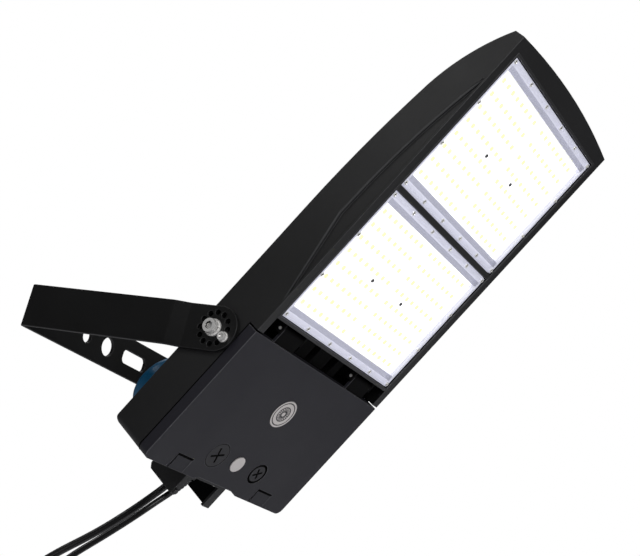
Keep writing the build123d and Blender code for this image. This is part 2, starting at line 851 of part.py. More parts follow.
def gland_bodies():
    bodies = []
    for place, diameter in glands():
        thread = gland_thread(diameter)
        low = -neck_base - gland_body_length
        high = box_wall + locknut_height + 1
        body = hexagon_bar(place, thread + gland_hexagon, (low, -neck_base))
        body += long_bar(place, thread, (-neck_base, high))
        body -= long_bar(place, diameter / 2 + cable_clearance, (low - 1, high + 1))
        bodies.append(body)
    return bodies


def gland_caps():
    caps = []
    for place, diameter in glands():
        y_seat = -neck_base - gland_body_length
        nose_seat = y_seat - gland_cap_height
        thread = gland_thread(diameter)
        cap = hexagon_bar(place, thread + gland_cap_hexagon, (nose_seat, y_seat))
        nose = Cone(thread + gland_cap_shoulder, diameter / 2 + gland_lip, gland_mouth + nose_seat)
        cap += Pos(place[0], (nose_seat - gland_mouth) / 2, -place[1]) * Rot(90, 0, 0) * nose
        cap -= long_bar(place, diameter / 2 + cable_clearance, (-gland_mouth - 1, y_seat + 1))
        caps.append(cap)
    return caps


def gland_locknuts():
    nuts = []
    for place, diameter in glands():
        thread = gland_thread(diameter)
        nut = hexagon_bar(place, thread + gland_hexagon, (box_wall, box_wall + locknut_height))
        nuts.append(nut - long_bar(place, thread + fit_clearance, (0, 20)))
    return nuts


def entry_cable(place, diameter):
    return long_bar(place, diameter / 2, (-gland_mouth, box_wall + entry_tail))


# Photocell on the back of the driver box
def cell_disc(radius, depth_range):
    return post((cell_x, cell_y), radius, depth_range)


def arc_block(inner, outer, start, sweep_angle, depth_range):
    a0 = radians(start)
    a1 = radians(start + sweep_angle)
    am = (a0 + a1) / 2
    spoke = [(inner * cos(a0), inner * sin(a0)), (outer * cos(a0), outer * sin(a0))]
    back = [(outer * cos(a1), outer * sin(a1)), (inner * cos(a1), inner * sin(a1))]
    edges = Line(*spoke).edges()
    edges += ThreePointArc(spoke[1], (outer * cos(am), outer * sin(am)), back[0]).edges()
    edges += Line(*back).edges()
    edges += ThreePointArc(back[1], (inner * cos(am), inner * sin(am)), spoke[0]).edges()
    return Pos(cell_x, cell_y, 0) * slab(make_face(edges), depth_range)


def seat_depth():
    return lamp_depth + socket_gasket_thickness


def socket_top():
    return seat_depth() + socket_flange_height


def photocell_socket():
    socket = cell_disc(socket_flange_radius, (seat_depth(), socket_top()))
    socket += cell_disc(socket_body_radius, (lamp_depth - socket_body_depth, seat_depth()))
    inner = blade_circle - blade_thickness / 2 - blade_clearance
    outer = blade_circle + blade_thickness / 2 + blade_clearance
    slot_sweep = blade_sweep + cell_twist + 2 * blade_end_gap
    slot_depths = (socket_top() - blade_depth - 1, socket_top() + 1)
    for angle in blade_angles:
        start = angle - blade_sweep / 2 - cell_twist - blade_end_gap
        socket -= arc_block(inner, outer, start, slot_sweep, slot_depths)
    return socket


def socket_gasket():
    ring = cell_disc(socket_flange_radius - 1, (lamp_depth, seat_depth()))
    return ring - cell_disc(socket_body_radius + fit_clearance, (lamp_depth - 1, seat_depth() + 1))


def photocell_base():
    start = socket_top() + cell_running
    return cell_disc(cell_base_radius, (start, start + cell_base_height))


def photocell_blades():
    start = socket_top() + cell_running
    inner = blade_circle - blade_thickness / 2
    outer = blade_circle + blade_thickness / 2
    return [arc_block(inner, outer, angle - blade_sweep / 2, blade_sweep, (start - blade_depth, start))
            for angle in blade_angles]


def photocell_cap():
    low = socket_top() + cell_running
    base_top = low + cell_base_height
    cap = cell_disc(cell_radius, (low + cell_skirt_gap, cell_top_depth))
    cap = fillet(cap.edges().group_by(Axis.Z)[0], cell_dome)
    cap -= cell_disc(cell_base_radius + fit_clearance, (low, base_top))
    cap -= cell_disc(cell_radius - cell_wall, (base_top, cell_top_depth - cell_roof))
    return cap


# Electrical parts in the driver box
def led_driver():
    length, width, height = driver_size
    top = floor_depth - height
    case = block((-length / 2, length / 2), (driver_y - width / 2, driver_y + width / 2),
                 (top, floor_depth))
    case = chamfer(case.edges().filter_by(Axis.X).group_by(Axis.Z)[-1], driver_chamfer)
    foot_top = floor_depth - driver_foot_thickness
    half_foot = driver_foot_width / 2
    for side in (-1, 1):
        foot = block(sided(side, length / 2 - 1, length / 2 + driver_foot),
                     (driver_y - half_foot, driver_y + half_foot), (foot_top, floor_depth))
        foot -= post((side * (length / 2 + driver_foot / 2), driver_y), small_screw_shank + loose_clearance,
                     (foot_top - 1, floor_depth + 1))
        case += foot
    return case


def driver_screws():
    x = driver_size[0] / 2 + driver_foot / 2
    seat = floor_depth - driver_foot_thickness
    return [post((side * x, driver_y), small_screw_head, (seat - small_screw_head_height, seat))
            + post((side * x, driver_y), small_screw_shank, (seat, floor_depth)) for side in (-1, 1)]


def surge_protector():
    length, width, height = surge_size
    x, y = surge_place
    return block((x - length / 2, x + length / 2), (y - width / 2, y + width / 2),
                 (floor_depth - height, floor_depth))


def terminal_place_x(way):
    length = terminal_size[0]
    pitch = length / terminal_ways
    return terminal_place[0] - length / 2 + (way + 0.5) * pitch


def terminal_block():
    length, width, height = terminal_size
    x, y = terminal_place
    top = floor_depth - height
    body = block((x - length / 2, x + length / 2), (y - width / 2, y + width / 2), (top, floor_depth))
    for way in range(terminal_ways):
        body -= post((terminal_place_x(way), y), terminal_hole_radius, (top - 1, top + terminal_hole_depth))
    return body


# Free cables, their routes written in the part's own frame
power_route = [(-4.0, -172.8, -134.3), (-4.0, -165.2, -146.0), (-8.0, -155.7, -160.7),
               (-16.8, -146.7, -176.4), (-36.0, -140.6, -197.1), (-75.0, -131.1, -232.7),
               (-122.0, -114.5, -271.3), (-152.1, -103.9, -304.4)]
dimming_route = [(-13.0, -187.9, -144.1), (-13.0, -181.4, -154.2), (-17.0, -173.8, -165.9),
                 (-26.0, -166.0, -178.8), (-40.0, -157.9, -196.7), (-61.0, -156.2, -213.4),
                 (-90.0, -149.4, -239.2), (-125.0, -146.2, -264.8), (-152.2, -143.7, -291.2)]


def bend_radii(route):
    radii = []
    for before, corner, after in zip(route, route[1:], route[2:]):
        run_in = Vector(*corner) - Vector(*before)
        run_out = Vector(*after) - Vector(*corner)
        turn = radians(run_in.get_angle(run_out))
        radii.append(bend_share * min(run_in.length, run_out.length) / tan(turn / 2))
    return radii


def tube(path, radius):
    return sweep(Plane(origin=path @ 0, z_dir=path % 0) * Circle(radius), path=path)


def free_cable(name, route, diameter):
    radii = bend_radii(route)
    path = FilletPolyline(*route, radius=radii)
    solid = tube(path, diameter / 2)
    section = pi * diameter ** 2 / 4
    print(name, "radii", [round(r) for r in radii], "length", round(path.length, 1),
          "volume over section times length", round(solid.volume / (section * path.length), 4))
    return solid


def biarc(start, leaving, end, arriving):
    chord = end - start
    both = leaving + arriving
    a = 2 * (leaving.dot(arriving) - 1)
    b = -2 * chord.dot(both)
    c = chord.dot(chord)
    reach = (-b - sqrt(b * b - 4 * a * c)) / (2 * a)
    first = start + leaving * reach
    second = end - arriving * reach
    joint = (first + second) / 2
    return [TangentArc(start, joint, tangent=leaving), TangentArc(joint, end, tangent=second - first)]


# A hanging coil that carries on from the last run of a free cable
def coil(name, route, diameter, radius, side):
    heading = (Vector(*route[-1]) - Vector(*route[-2])).normalized()
    level = Vector(heading.X, heading.Y, 0).normalized()
    across = Vector(0, 0, 1).cross(level) * side
    pitch = diameter + coil_turn_gap
    entry = Vector(*route[-1]) + heading * diameter
    first = pi / 2 + asin(heading.Z)
    centre = entry - (level * cos(first) + Vector(0, 0, sin(first))) * radius
    angles = [first - i * pi / 2 for i in range(coil_quarters + 1)] + [-coil_quarters * pi / 2]
    places = [centre + (level * cos(a) + Vector(0, 0, sin(a))) * radius
              + across * pitch * (first - a) / (2 * pi) for a in angles]
    flat = [level * sin(a) - Vector(0, 0, cos(a)) for a in angles]
    headings = [(f * radius + across * pitch / (2 * pi)).normalized() for f in flat]
    headings[0] = heading
    headings[-1] = Vector(0, 0, -1)
    edges = [Line(Vector(*route[-1]), entry)]
    for i in range(len(places) - 1):
        edges += biarc(places[i], headings[i], places[i + 1], headings[i + 1])
    tail = places[-1] + Vector(0, 0, -diameter)
    edges.append(Line(places[-1], tail))
    path = Wire([edge.edge() for edge in edges])
    print(name, "coil length", round(path.length, 1), "least gap", round(least_gap(path, diameter), 2))
    ties = []
    for degree in tie_angles:
        a = radians(degree)
        out = level * cos(a) + Vector(0, 0, sin(a))
        middle = centre + out * radius + across * pitch * ((first - a) / (2 * pi) + 1 / 2)
        along = level * sin(a) - Vector(0, 0, cos(a))
        ties.append(coil_tie(Plane(origin=middle, x_dir=across, z_dir=along), pitch + diameter, diameter))
    return tube(path, diameter / 2), tail, ties


# A band round two neighbouring turns, with its locking head
def coil_tie(place, width, height):
    inner = SlotOverall(width + 2 * tie_clearance, height + 2 * tie_clearance)
    outer = offset(inner, tie_thickness)
    head_width, head_height, head_length = tie_head
    head_y = height / 2 + tie_clearance + tie_thickness / 2 + head_height / 2
    band = extrude(outer - inner, tie_width / 2, both=True)
    return place * (band + Pos(0, head_y, 0) * Box(head_width, head_height, head_length))


def least_gap(path, diameter):
    count = 300
    points = [path.position_at(i / count) for i in range(count + 1)]
    apart = ceil(4 * diameter / (path.length / count))
    gaps = [(points[i] - points[j]).length for i in range(count) for j in range(i + apart, count + 1)]
    return min(gaps) - diameter


def leads(tail, diameter, count):
    wires = []
    ends = []
    for i in range(count):
        angle = 2 * pi * i / count + lead_turn
        out = Vector(cos(angle), sin(angle), 0)
        top = tail + out * (diameter / 4 + cable_clearance)
        spread = 1 + lead_unevenness * i
        places = zip((0, 0, lead_flare, lead_end_flare), (0, 1, 2, 3))
        points = [top + out * flare * spread - Vector(0, 0, lead_length * third / 3)
                  for flare, third in places]
        path = FilletPolyline(*points, radius=bend_radii([tuple(p) for p in points]))
        wires.append(tube(path, lead_radius))
        bare = Plane(origin=path @ 1, z_dir=path % 1) * Circle(bare_radius)
        ends.append(extrude(bare, bare_end))
    return wires, ends


def save(name, shape, placed=False):
    solids = shape if isinstance(shape, list) else [shape]
    if not placed:
        solids = [lamp_to_row * solid for solid in solids]
    flat = [part for solid in solids for part in solid.solids()]
    export_step(Compound(children=flat) if len(flat) > 1 else flat[0], f"parts/{name}.step")


save("yoke_bracket", yoke_bracket(), placed=True)
save("pivot_screws", pivot_screws(), placed=True)
save("pivot_washers", pivot_washers(), placed=True)
save("spring_washers", spring_washers(), placed=True)
save("index_screws", index_screws(), placed=True)
save("index_washers", index_washers(), placed=True)
save("lamp_housing", lamp_housing())
save("driver_door", driver_door())
save("door_gasket", door_gasket())
save("door_screw_large", door_screw(large_screw_place, large_screw_radius, large_cross, 23))
save("door_screw_small", door_screw(small_screw_place, small_screw_radius, small_cross, 32))
save("door_vent_plug", door_vent_plug())
save("door_plug_nut", door_plug_nut())
save("door_disc", door_disc())
save("hinge_pins", hinge_pins())
save("lens_screws", lens_screws())
save("board_screws", board_screws())
for number, index in ((1, 0), (2, 1)):
    save(f"led_board_{number}", led_board(index))
    save(f"led_chips_{number}", led_chips(index))
    save(f"lens_{number}", lens(index))
    save(f"lens_gasket_{number}", lens_gasket(index))
save("cable_neck", cable_neck())
save("neck_screws", neck_screws())
save("neck_lip_screw", neck_lip_screw())
save("gland_bodies", gland_bodies())
save("gland_caps", gland_caps())
save("gland_locknuts", gland_locknuts())
save("power_entry", entry_cable(power_gland_place, power_diameter))
save("dimming_entry", entry_cable(dimming_gland_place, dimming_diameter))
save("photocell_socket", photocell_socket())
save("socket_gasket", socket_gasket())
save("photocell_base", photocell_base())
save("photocell_blades", photocell_blades())
save("photocell_cap", photocell_cap())
save("led_driver", led_driver())
save("driver_screws", driver_screws())
save("surge_protector", surge_protector())
save("terminal_block", terminal_block())

power_coil, power_tail, power_ties = coil("power_coil", power_route, power_diameter, power_coil_radius, -1)
dimming_coil, dimming_tail, dimming_ties = coil("dimming_coil", dimming_route, dimming_diameter,
                                                dimming_coil_radius, 1)
power_leads, power_ends = leads(power_tail, power_diameter, 3)
dimming_leads, dimming_ends = leads(dimming_tail, dimming_diameter, 2)
save("power_cable", free_cable("power_cable", power_route, power_diameter), placed=True)
save("dimming_cable", free_cable("dimming_cable", dimming_route, dimming_diameter), placed=True)
save("power_coil", power_coil, placed=True)
save("dimming_coil", dimming_coil, placed=True)
save("coil_ties", power_ties + dimming_ties, placed=True)
save("power_leads", power_leads, placed=True)
save("dimming_leads", dimming_leads, placed=True)
save("bare_ends", power_ends + dimming_ends, placed=True)
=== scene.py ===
import json
import math
import bmesh
import bpy
from mathutils import Matrix, Vector
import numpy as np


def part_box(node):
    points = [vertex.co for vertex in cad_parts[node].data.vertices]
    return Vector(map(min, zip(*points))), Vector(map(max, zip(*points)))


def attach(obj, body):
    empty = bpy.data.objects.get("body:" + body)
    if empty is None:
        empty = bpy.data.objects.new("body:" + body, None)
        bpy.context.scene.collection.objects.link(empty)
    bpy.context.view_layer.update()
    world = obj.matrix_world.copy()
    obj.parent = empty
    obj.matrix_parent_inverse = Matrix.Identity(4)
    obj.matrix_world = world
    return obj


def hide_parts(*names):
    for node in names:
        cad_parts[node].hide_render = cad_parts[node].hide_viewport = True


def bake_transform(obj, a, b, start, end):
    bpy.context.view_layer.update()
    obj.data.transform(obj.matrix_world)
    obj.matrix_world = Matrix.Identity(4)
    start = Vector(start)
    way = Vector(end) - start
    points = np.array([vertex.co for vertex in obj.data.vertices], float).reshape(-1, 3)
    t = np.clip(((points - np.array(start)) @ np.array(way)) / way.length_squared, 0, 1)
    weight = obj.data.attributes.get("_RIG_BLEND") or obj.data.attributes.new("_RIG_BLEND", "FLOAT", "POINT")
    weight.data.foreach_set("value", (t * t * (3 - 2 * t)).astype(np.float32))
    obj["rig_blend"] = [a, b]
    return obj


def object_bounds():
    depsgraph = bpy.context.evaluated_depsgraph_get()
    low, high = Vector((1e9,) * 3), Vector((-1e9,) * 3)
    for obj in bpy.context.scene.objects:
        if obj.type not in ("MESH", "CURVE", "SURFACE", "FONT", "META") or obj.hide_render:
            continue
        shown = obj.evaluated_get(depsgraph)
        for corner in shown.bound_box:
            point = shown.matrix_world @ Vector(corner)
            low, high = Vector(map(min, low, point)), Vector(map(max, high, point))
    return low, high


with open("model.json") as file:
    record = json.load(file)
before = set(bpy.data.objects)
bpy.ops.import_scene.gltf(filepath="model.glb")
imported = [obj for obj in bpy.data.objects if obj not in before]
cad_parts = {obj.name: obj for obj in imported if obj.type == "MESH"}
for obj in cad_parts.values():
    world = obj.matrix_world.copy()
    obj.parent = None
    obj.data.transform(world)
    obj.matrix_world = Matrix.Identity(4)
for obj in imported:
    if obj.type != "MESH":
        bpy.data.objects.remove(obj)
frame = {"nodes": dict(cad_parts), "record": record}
cad_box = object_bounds()
mm = 0.001

# Camera
camera_place = Vector((-1.3016, -1.0938, -0.3053))
camera_forward = Vector((0.8189, 0.5082, 0.2666))
camera_up = Vector((-0.3531, 0.0799, 0.9322))
camera_lens = 75.1

# Lamp frame: x across, y from the driver end to the tip, z minus the depth behind the flat front
yoke_reach = 269.0
rest_angle = 123.0
pivot_from_end = 151.0
pivot_depth = 41.0
lamp_to_row = (Matrix.Translation((0, -yoke_reach * mm, 0))
               @ Matrix.Rotation(math.radians(rest_angle), 4, "X")
               @ Matrix.Translation((0, -pivot_from_end * mm, pivot_depth * mm)) @ Matrix.Scale(mm, 4))
row_scale = Matrix.Scale(mm, 4)
half_width = 151.0
box_length = 181.5
slot_end = 206.0

# Cables, in millimetres of the row frame, as the part's source has them
power_diameter = 8.6
dimming_diameter = 7.2
power_route = [(-4.0, -172.8, -134.3), (-4.0, -165.2, -146.0), (-8.0, -155.7, -160.7),
               (-16.8, -146.7, -176.4), (-36.0, -140.6, -197.1), (-75.0, -131.1, -232.7),
               (-122.0, -114.5, -271.3), (-152.1, -103.9, -304.4)]
dimming_route = [(-13.0, -187.9, -144.1), (-13.0, -181.4, -154.2), (-17.0, -173.8, -165.9),
                 (-26.0, -166.0, -178.8), (-40.0, -157.9, -196.7), (-61.0, -156.2, -213.4),
                 (-90.0, -149.4, -239.2), (-125.0, -146.2, -264.8), (-152.2, -143.7, -291.2)]
power_coil_radius = 47.0
dimming_coil_radius = 39.0
coil_turn_gap = 0.7
coil_turns = 2
points_per_turn = 16
boot_length = 26.0
boot_wall = 3.6
boot_rings = 12
boot_taper = 0.42
boot_groove = 0.86
boot_resolution = 4
route_resolution = 6
tube_roundness = 5
lead_radius = 1.35
lead_length = 42.0
lead_turn = 0.4
lead_unevenness = 0.15
lead_flares = (0.0, 0.0, 4.0, 5.0)
lead_root = 1.5
bare_radius = 0.81
bare_end = 7.0
bare_root = 1.0
cable_clearance = 0.1
bend_top = (0, 0, -0.165)
bend_foot = (0, 0, -0.283)

# Light boards and lens plates, in millimetres of the lamp frame
half_lens = 134.6
lens_spans = [(211.8, 391.5), (401.3, 581.0)]
lens_top = 1.5
flange_thickness = 0.9
field_depth = 5.9
end_flange = 15.0
side_flange = 4.5
flange_split = 8.0
wall_lean = 1.6
middle_slack = 1.0
dome_radii = (4.4, 5.2, 2.6)
dome_steps = (12, 6)
dome_foot = 0.2
boss_radius = 3.6
boss_top_radius = 3.24
boss_height = 0.8
boss_sides = 24
rib_width = 0.8
rib_height = 0.5
rib_sink = 0.1
rib_edge = 0.2
rib_insets = (1.4, 3.4)
chip_rows = 8
chips_per_half_row = 8
chip_centre = 13.0
chip_edge = 114.0
chip_end_inset = 23.9
chip_width = 6.0
chip_corner = 1.6
chip_segments = 3
chip_height = 0.7
screw_edge_inset = 3.7
end_screw_offsets = [-130.9, -79.9, -26.6, 26.6, 79.9, 130.9]
side_screw_offset = 29.0
board_screw_offset = 39.3
board_depth = 8.0
board_thickness = 1.6
lens_screw_head = (2.6, 1.4, 1.3)
board_screw_head = (2.4, 1.2, 1.2)
lens_screw_proud = 0.2

# Pan heads: straight wall, crown steps and driving recess as shares of the head's height and radius
head_sides = 20
head_wall = 0.6
head_steps = ((0.3, 0.9), (0.1, 0.78))
head_crown = 0.7
head_recess = 0.5

# Lip round the light openings
lip_outer_x = 139.3
lip_y = (207.0, 585.6)
lip_height = 0.6
lip_width = 3.2
lip_root = 0.3
lip_round = 0.42

# Round disc on the door
disc_place = (0.0, 117.0)
disc_proud = 0.4
tick_count = 20
tick_width = 1.1
tick_height = 0.15
tick_reach = (3.0, 9.0)
tick_sink = 0.1
tick_edge = 0.05

# Edge rounding
merge_distance = 0.002
weld_distance = 0.00001
cut_distance = 0.0001
flat_angle = 0.6
sharp_angle = 28.0
crease_angle = 52.0
small_crease_angle = 32.0
edge_segments = 2
wide_segments = 4
casting_round = 0.6
scallop_round = 2.0
seam_round = 0.8
seam_depths = (13.0, 15.5)
hardware_round = 0.3
disc_round = 0.12

# Photocell window
cell_place = (-26.5, 37.0)
cell_top = 142.0
window_radius = 7.0
window_ring = 2.0
window_sides = 40
window_height = 0.8
window_lift = 0.3
window_dish = 0.3

# Places on the castings that are picked out for wide rounding and painted shade, in millimetres of the lamp
# frame
side_slack = 0.1
scallop_span = (226.0, 541.0)
scallop_depths = (2.3, 24.5)
scallop_lip = 2.7
slot_slack = 0.4
slot_side_inset = 11.5
slot_top = 1.2
seam_inset = 1.0
seam_corner = 9.0
seam_end = 1.0
seam_face_end = 3.0
seam_slope = 0.15
pocket_start = 2.0
pocket_end = 583.0
pocket_half_width = 136.2
pocket_depths = (0.8, 9.0)
hook_start = 0.3
hook_slope = 0.6
door_hollow_depths = (0.35, 12.0)
door_hollow_half_width = 140.0
door_hollow_start = 1.0
door_hollow_inset = 3.0
neck_half_width = 37.5
neck_depths = (17.0, 59.0)
disc_groove_lift = 0.2
cross_depth = 0.55
head_foot_x = 160.0
head_socket_x = 163.0
hex_slope = 0.3

# Studio
sky_fill = 0.09
sky_seen = 1.0
floor_drop = 0.03
floor_size = 6.0
cool_lean = 1.04
wire_shade = 0.85


# Shapes
def piece_from(bm, name, matrix=None, smooth_angle=small_crease_angle):
    bmesh.ops.remove_doubles(bm, verts=bm.verts, dist=weld_distance)
    bmesh.ops.recalc_face_normals(bm, faces=bm.faces)
    if matrix is not None:
        bmesh.ops.transform(bm, matrix=matrix, verts=bm.verts)
    mesh = bpy.data.meshes.new(name)
    bm.to_mesh(mesh)
    bm.free()
    piece = bpy.data.objects.new(name, mesh)
    bpy.context.scene.collection.objects.link(piece)
    mesh.polygons.foreach_set("use_smooth", [True] * len(mesh.polygons))
    mesh.set_sharp_from_angle(angle=math.radians(smooth_angle))
    return piece


def lamp_place(x, y, depth):
    return Matrix.Translation((x, y, -depth))


def even_normals(piece):
    modifier = piece.modifiers.new("even_normals", "WEIGHTED_NORMAL")
    modifier.keep_sharp = True


# Rounded faces are flagged in the edge layer for the painted edge tint
def round_edges(bm, edges, width, segments=edge_segments):
    made = bmesh.ops.bevel(bm, geom=edges, offset=width, segments=segments, affect="EDGES",
                           profile=0.5, material=-1, clamp_overlap=False)
    painted_edge_mask = bm.faces.layers.float["edge"]
    for face in made["faces"]:
        face[painted_edge_mask] = 1.0


def sharp_edges(bm):
    limit = math.radians(sharp_angle)
    return [e for e in bm.edges if len(e.link_faces) == 2 and e.calc_face_angle() > limit]


# A CAD piece with its loose triangles merged and its edges rounded, the rounded faces flagged for the
# painted edge tint; faces that recess picks take the second material, painted shade black on all but the
# door disc
def rounded(node, materials, width, scale=lamp_to_row, wide=(), recess=None):
    bm = bmesh.new()
    bm.from_mesh(frame["nodes"][node].data)
    bmesh.ops.transform(bm, matrix=scale.inverted(), verts=bm.verts)
    bmesh.ops.remove_doubles(bm, verts=bm.verts, dist=merge_distance)
    bmesh.ops.dissolve_limit(bm, angle_limit=math.radians(flat_angle), verts=bm.verts, edges=bm.edges)
    bm.faces.layers.float.new("edge")
    for chosen, wide_round in wide:
        round_edges(bm, [e for e in sharp_edges(bm) if chosen(e)], wide_round, wide_segments)
    round_edges(bm, sharp_edges(bm), width)
    if recess:
        for face in bm.faces:
            if recess(face):
                face.material_index = 1
    piece = piece_from(bm, node + "_finished", scale, crease_angle)
    for material in materials:
        piece.data.materials.append(material)
    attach(piece, node_bodies[node])
    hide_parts(node)
    even_normals(piece)


# Copies of one small shape, each at its own place
def scatter(bm, unit, places):
    for place in places:
        first = len(bm.verts)
        bm.from_mesh(unit)
        bm.verts.ensure_lookup_table()
        bmesh.ops.transform(bm, matrix=place, verts=bm.verts[first:])


def unit_from(bm, name):
    bmesh.ops.recalc_face_normals(bm, faces=bm.faces)
    mesh = bpy.data.meshes.new(name)
    bm.to_mesh(mesh)
    bm.free()
    return mesh


# A rectangle cut into panels along lines across it
def panels(x_lines, y_lines, depth):
    bm = bmesh.new()
    x0, x1 = x_lines[0], x_lines[-1]
    y0, y1 = y_lines[0], y_lines[-1]
    size = Matrix.Diagonal(((x1 - x0) / 2, (y1 - y0) / 2, 1, 1))
    bmesh.ops.create_grid(bm, x_segments=1, y_segments=1, size=1.0,
                          matrix=lamp_place((x0 + x1) / 2, (y0 + y1) / 2, depth) @ size)
    cuts = [((x, 0, 0), (1, 0, 0)) for x in x_lines[1:-1]]
    cuts += [((0, y, 0), (0, 1, 0)) for y in y_lines[1:-1]]
    for place, direction in cuts:
        bmesh.ops.bisect_plane(bm, geom=bm.verts[:] + bm.edges[:] + bm.faces[:], dist=cut_distance,
                               plane_co=place, plane_no=direction)
    return bm


def plate(bm, x_range, y_range, depth_range, edge):
    x0, x1 = x_range
    y0, y1 = y_range
    d0, d1 = depth_range
    place = lamp_place((x0 + x1) / 2, (y0 + y1) / 2, (d0 + d1) / 2)
    size = Matrix.Diagonal((x1 - x0, y1 - y0, d1 - d0, 1))
    made = bmesh.ops.create_cube(bm, size=1.0, matrix=place @ size)
    edges = list({e for v in made["verts"] for e in v.link_edges})
    bmesh.ops.bevel(bm, geom=edges, offset=edge, segments=edge_segments, affect="EDGES",
                    profile=0.5, material=-1)


# A pan head with a driving recess, whose faces take the second material, painted shade black
def screw_head(radius, height, recess):
    bm = bmesh.new()
    wall = height * head_wall
    bmesh.ops.create_cone(bm, cap_ends=True, segments=head_sides, radius1=radius, radius2=radius,
                          depth=wall, matrix=Matrix.Translation((0, 0, wall / 2)))
    for lift, shrink in head_steps:
        top = max(bm.faces, key=lambda f: f.calc_center_median().z)
        crown = bmesh.ops.extrude_discrete_faces(bm, faces=[top])["faces"][0]
        bmesh.ops.translate(bm, verts=crown.verts, vec=(0, 0, lift * height))
        bmesh.ops.scale(bm, verts=crown.verts, vec=(shrink, shrink, 1))
    bmesh.ops.inset_region(bm, faces=[crown], thickness=radius * head_crown - recess)
    bmesh.ops.translate(bm, verts=crown.verts, vec=(0, 0, -height * head_recess))
    for face in bm.faces:
        if face.calc_center_median().to_2d().length < recess:
            face.material_index = 1
    return unit_from(bm, "screw_head")


# Materials
def socket(tree, name, kind, value=None, output=False):
    made = tree.interface.new_socket(name, in_out="OUTPUT" if output else "INPUT", socket_type=kind)
    if value is not None:
        made.default_value = value
    return made


# Fine grain, soft patches and a painted edge tint on rounded edges: a painted highlight where the edge
# colour is lighter than the body, painted shade where it is darker
def make_surface_group():
    tree = bpy.data.node_groups.new("surface", "ShaderNodeTree")
    for name in ("Dark", "Light", "Painted Edge"):
        socket(tree, name, "NodeSocketColor", (0.5, 0.5, 0.5, 1))
    for name in ("Fine Scale", "Patch Scale", "Smooth", "Rough"):
        socket(tree, name, "NodeSocketFloat", 1.0)
    socket(tree, "Colour", "NodeSocketColor", output=True)
    socket(tree, "Roughness", "NodeSocketFloat", output=True)
    socket(tree, "Height", "NodeSocketFloat", output=True)
    nodes, links = tree.nodes, tree.links
    inside = nodes.new("NodeGroupInput")
    outside = nodes.new("NodeGroupOutput")
    place = nodes.new("ShaderNodeTexCoord")
    fine = nodes.new("ShaderNodeTexNoise")
    fine.inputs["Detail"].default_value = 3.0
    patch = nodes.new("ShaderNodeTexNoise")
    patch.inputs["Detail"].default_value = 4.0
    for texture, scale in ((fine, "Fine Scale"), (patch, "Patch Scale")):
        links.new(place.outputs["Object"], texture.inputs["Vector"])
        links.new(inside.outputs[scale], texture.inputs["Scale"])
    body = nodes.new("ShaderNodeMix")
    body.data_type = "RGBA"
    painted_edge_mix = nodes.new("ShaderNodeMix")
    painted_edge_mix.data_type = "RGBA"
    edge = nodes.new("ShaderNodeAttribute")
    edge.attribute_name = "edge"
    links.new(patch.outputs["Fac"], body.inputs["Factor"])
    links.new(inside.outputs["Dark"], body.inputs["A"])
    links.new(inside.outputs["Light"], body.inputs["B"])
    links.new(edge.outputs["Fac"], painted_edge_mix.inputs["Factor"])
    links.new(body.outputs["Result"], painted_edge_mix.inputs["A"])
    links.new(inside.outputs["Painted Edge"], painted_edge_mix.inputs["B"])
    links.new(painted_edge_mix.outputs["Result"], outside.inputs["Colour"])
    spread = nodes.new("ShaderNodeMapRange")
    spread.inputs["From Min"].default_value = 0.3
    spread.inputs["From Max"].default_value = 0.7
    links.new(patch.outputs["Fac"], spread.inputs["Value"])
    links.new(inside.outputs["Smooth"], spread.inputs["To Min"])
    links.new(inside.outputs["Rough"], spread.inputs["To Max"])
    links.new(spread.outputs["Result"], outside.inputs["Roughness"])
    links.new(fine.outputs["Fac"], outside.inputs["Height"])
    return tree


surface_group = make_surface_group()


# The edge colour is painted onto the rounded faces flagged by round_edges, as a highlight when lighter than
# the body and as shade when darker; without one they take the light colour
def finish(name, dark, light, rough, fine_scale=900.0, patch_scale=14.0, relief=0.00003, metallic=0.0,
           specular=0.5, alpha=1.0, edge=None, emission=None, emission_strength=0.0):
    material = bpy.data.materials.new(name)
    material.use_nodes = True
    tree = material.node_tree
    nodes, links = tree.nodes, tree.links
    shader = nodes["Principled BSDF"]
    shader.inputs["Metallic"].default_value = metallic
    shader.inputs["Specular IOR Level"].default_value = specular
    shader.inputs["Alpha"].default_value = alpha
    surface = nodes.new("ShaderNodeGroup")
    surface.node_tree = surface_group
    surface.inputs["Dark"].default_value = (*dark, 1)
    surface.inputs["Light"].default_value = (*light, 1)
    surface.inputs["Painted Edge"].default_value = (*(edge or light), 1)
    surface.inputs["Fine Scale"].default_value = fine_scale
    surface.inputs["Patch Scale"].default_value = patch_scale
    surface.inputs["Smooth"].default_value = rough[0]
    surface.inputs["Rough"].default_value = rough[1]
    links.new(surface.outputs["Colour"], shader.inputs["Base Color"])
    links.new(surface.outputs["Roughness"], shader.inputs["Roughness"])
    bump = nodes.new("ShaderNodeBump")
    bump.inputs["Distance"].default_value = relief
    links.new(surface.outputs["Height"], bump.inputs["Height"])
    links.new(bump.outputs["Normal"], shader.inputs["Normal"])
    if emission:
        shader.inputs["Emission Color"].default_value = (*emission, 1)
        shader.inputs["Emission Strength"].default_value = emission_strength
    return material


# White board with a painted glow: emission lights its field white as the chips' light and its margins with a
# dimmer pale violet glow, painted shade under the flanges
def painted_glow_board(name, margin, field):
    material = finish(name, (0.88, 0.88, 0.89), (0.93, 0.93, 0.94), rough=(0.35, 0.5), fine_scale=900,
                      patch_scale=20, relief=0.00001, emission=field, emission_strength=1.0)
    tree = material.node_tree
    glow = tree.nodes.new("ShaderNodeAttribute")
    glow.attribute_name = "glow"
    blend = tree.nodes.new("ShaderNodeMix")
    blend.data_type = "RGBA"
    blend.inputs["A"].default_value = (*margin, 1)
    blend.inputs["B"].default_value = (*field, 1)
    tree.links.new(glow.outputs["Fac"], blend.inputs["Factor"])
    tree.links.new(blend.outputs["Result"], tree.nodes["Principled BSDF"].inputs["Emission Color"])
    return material


def grey(value):
    return (value, value, value * cool_lean)
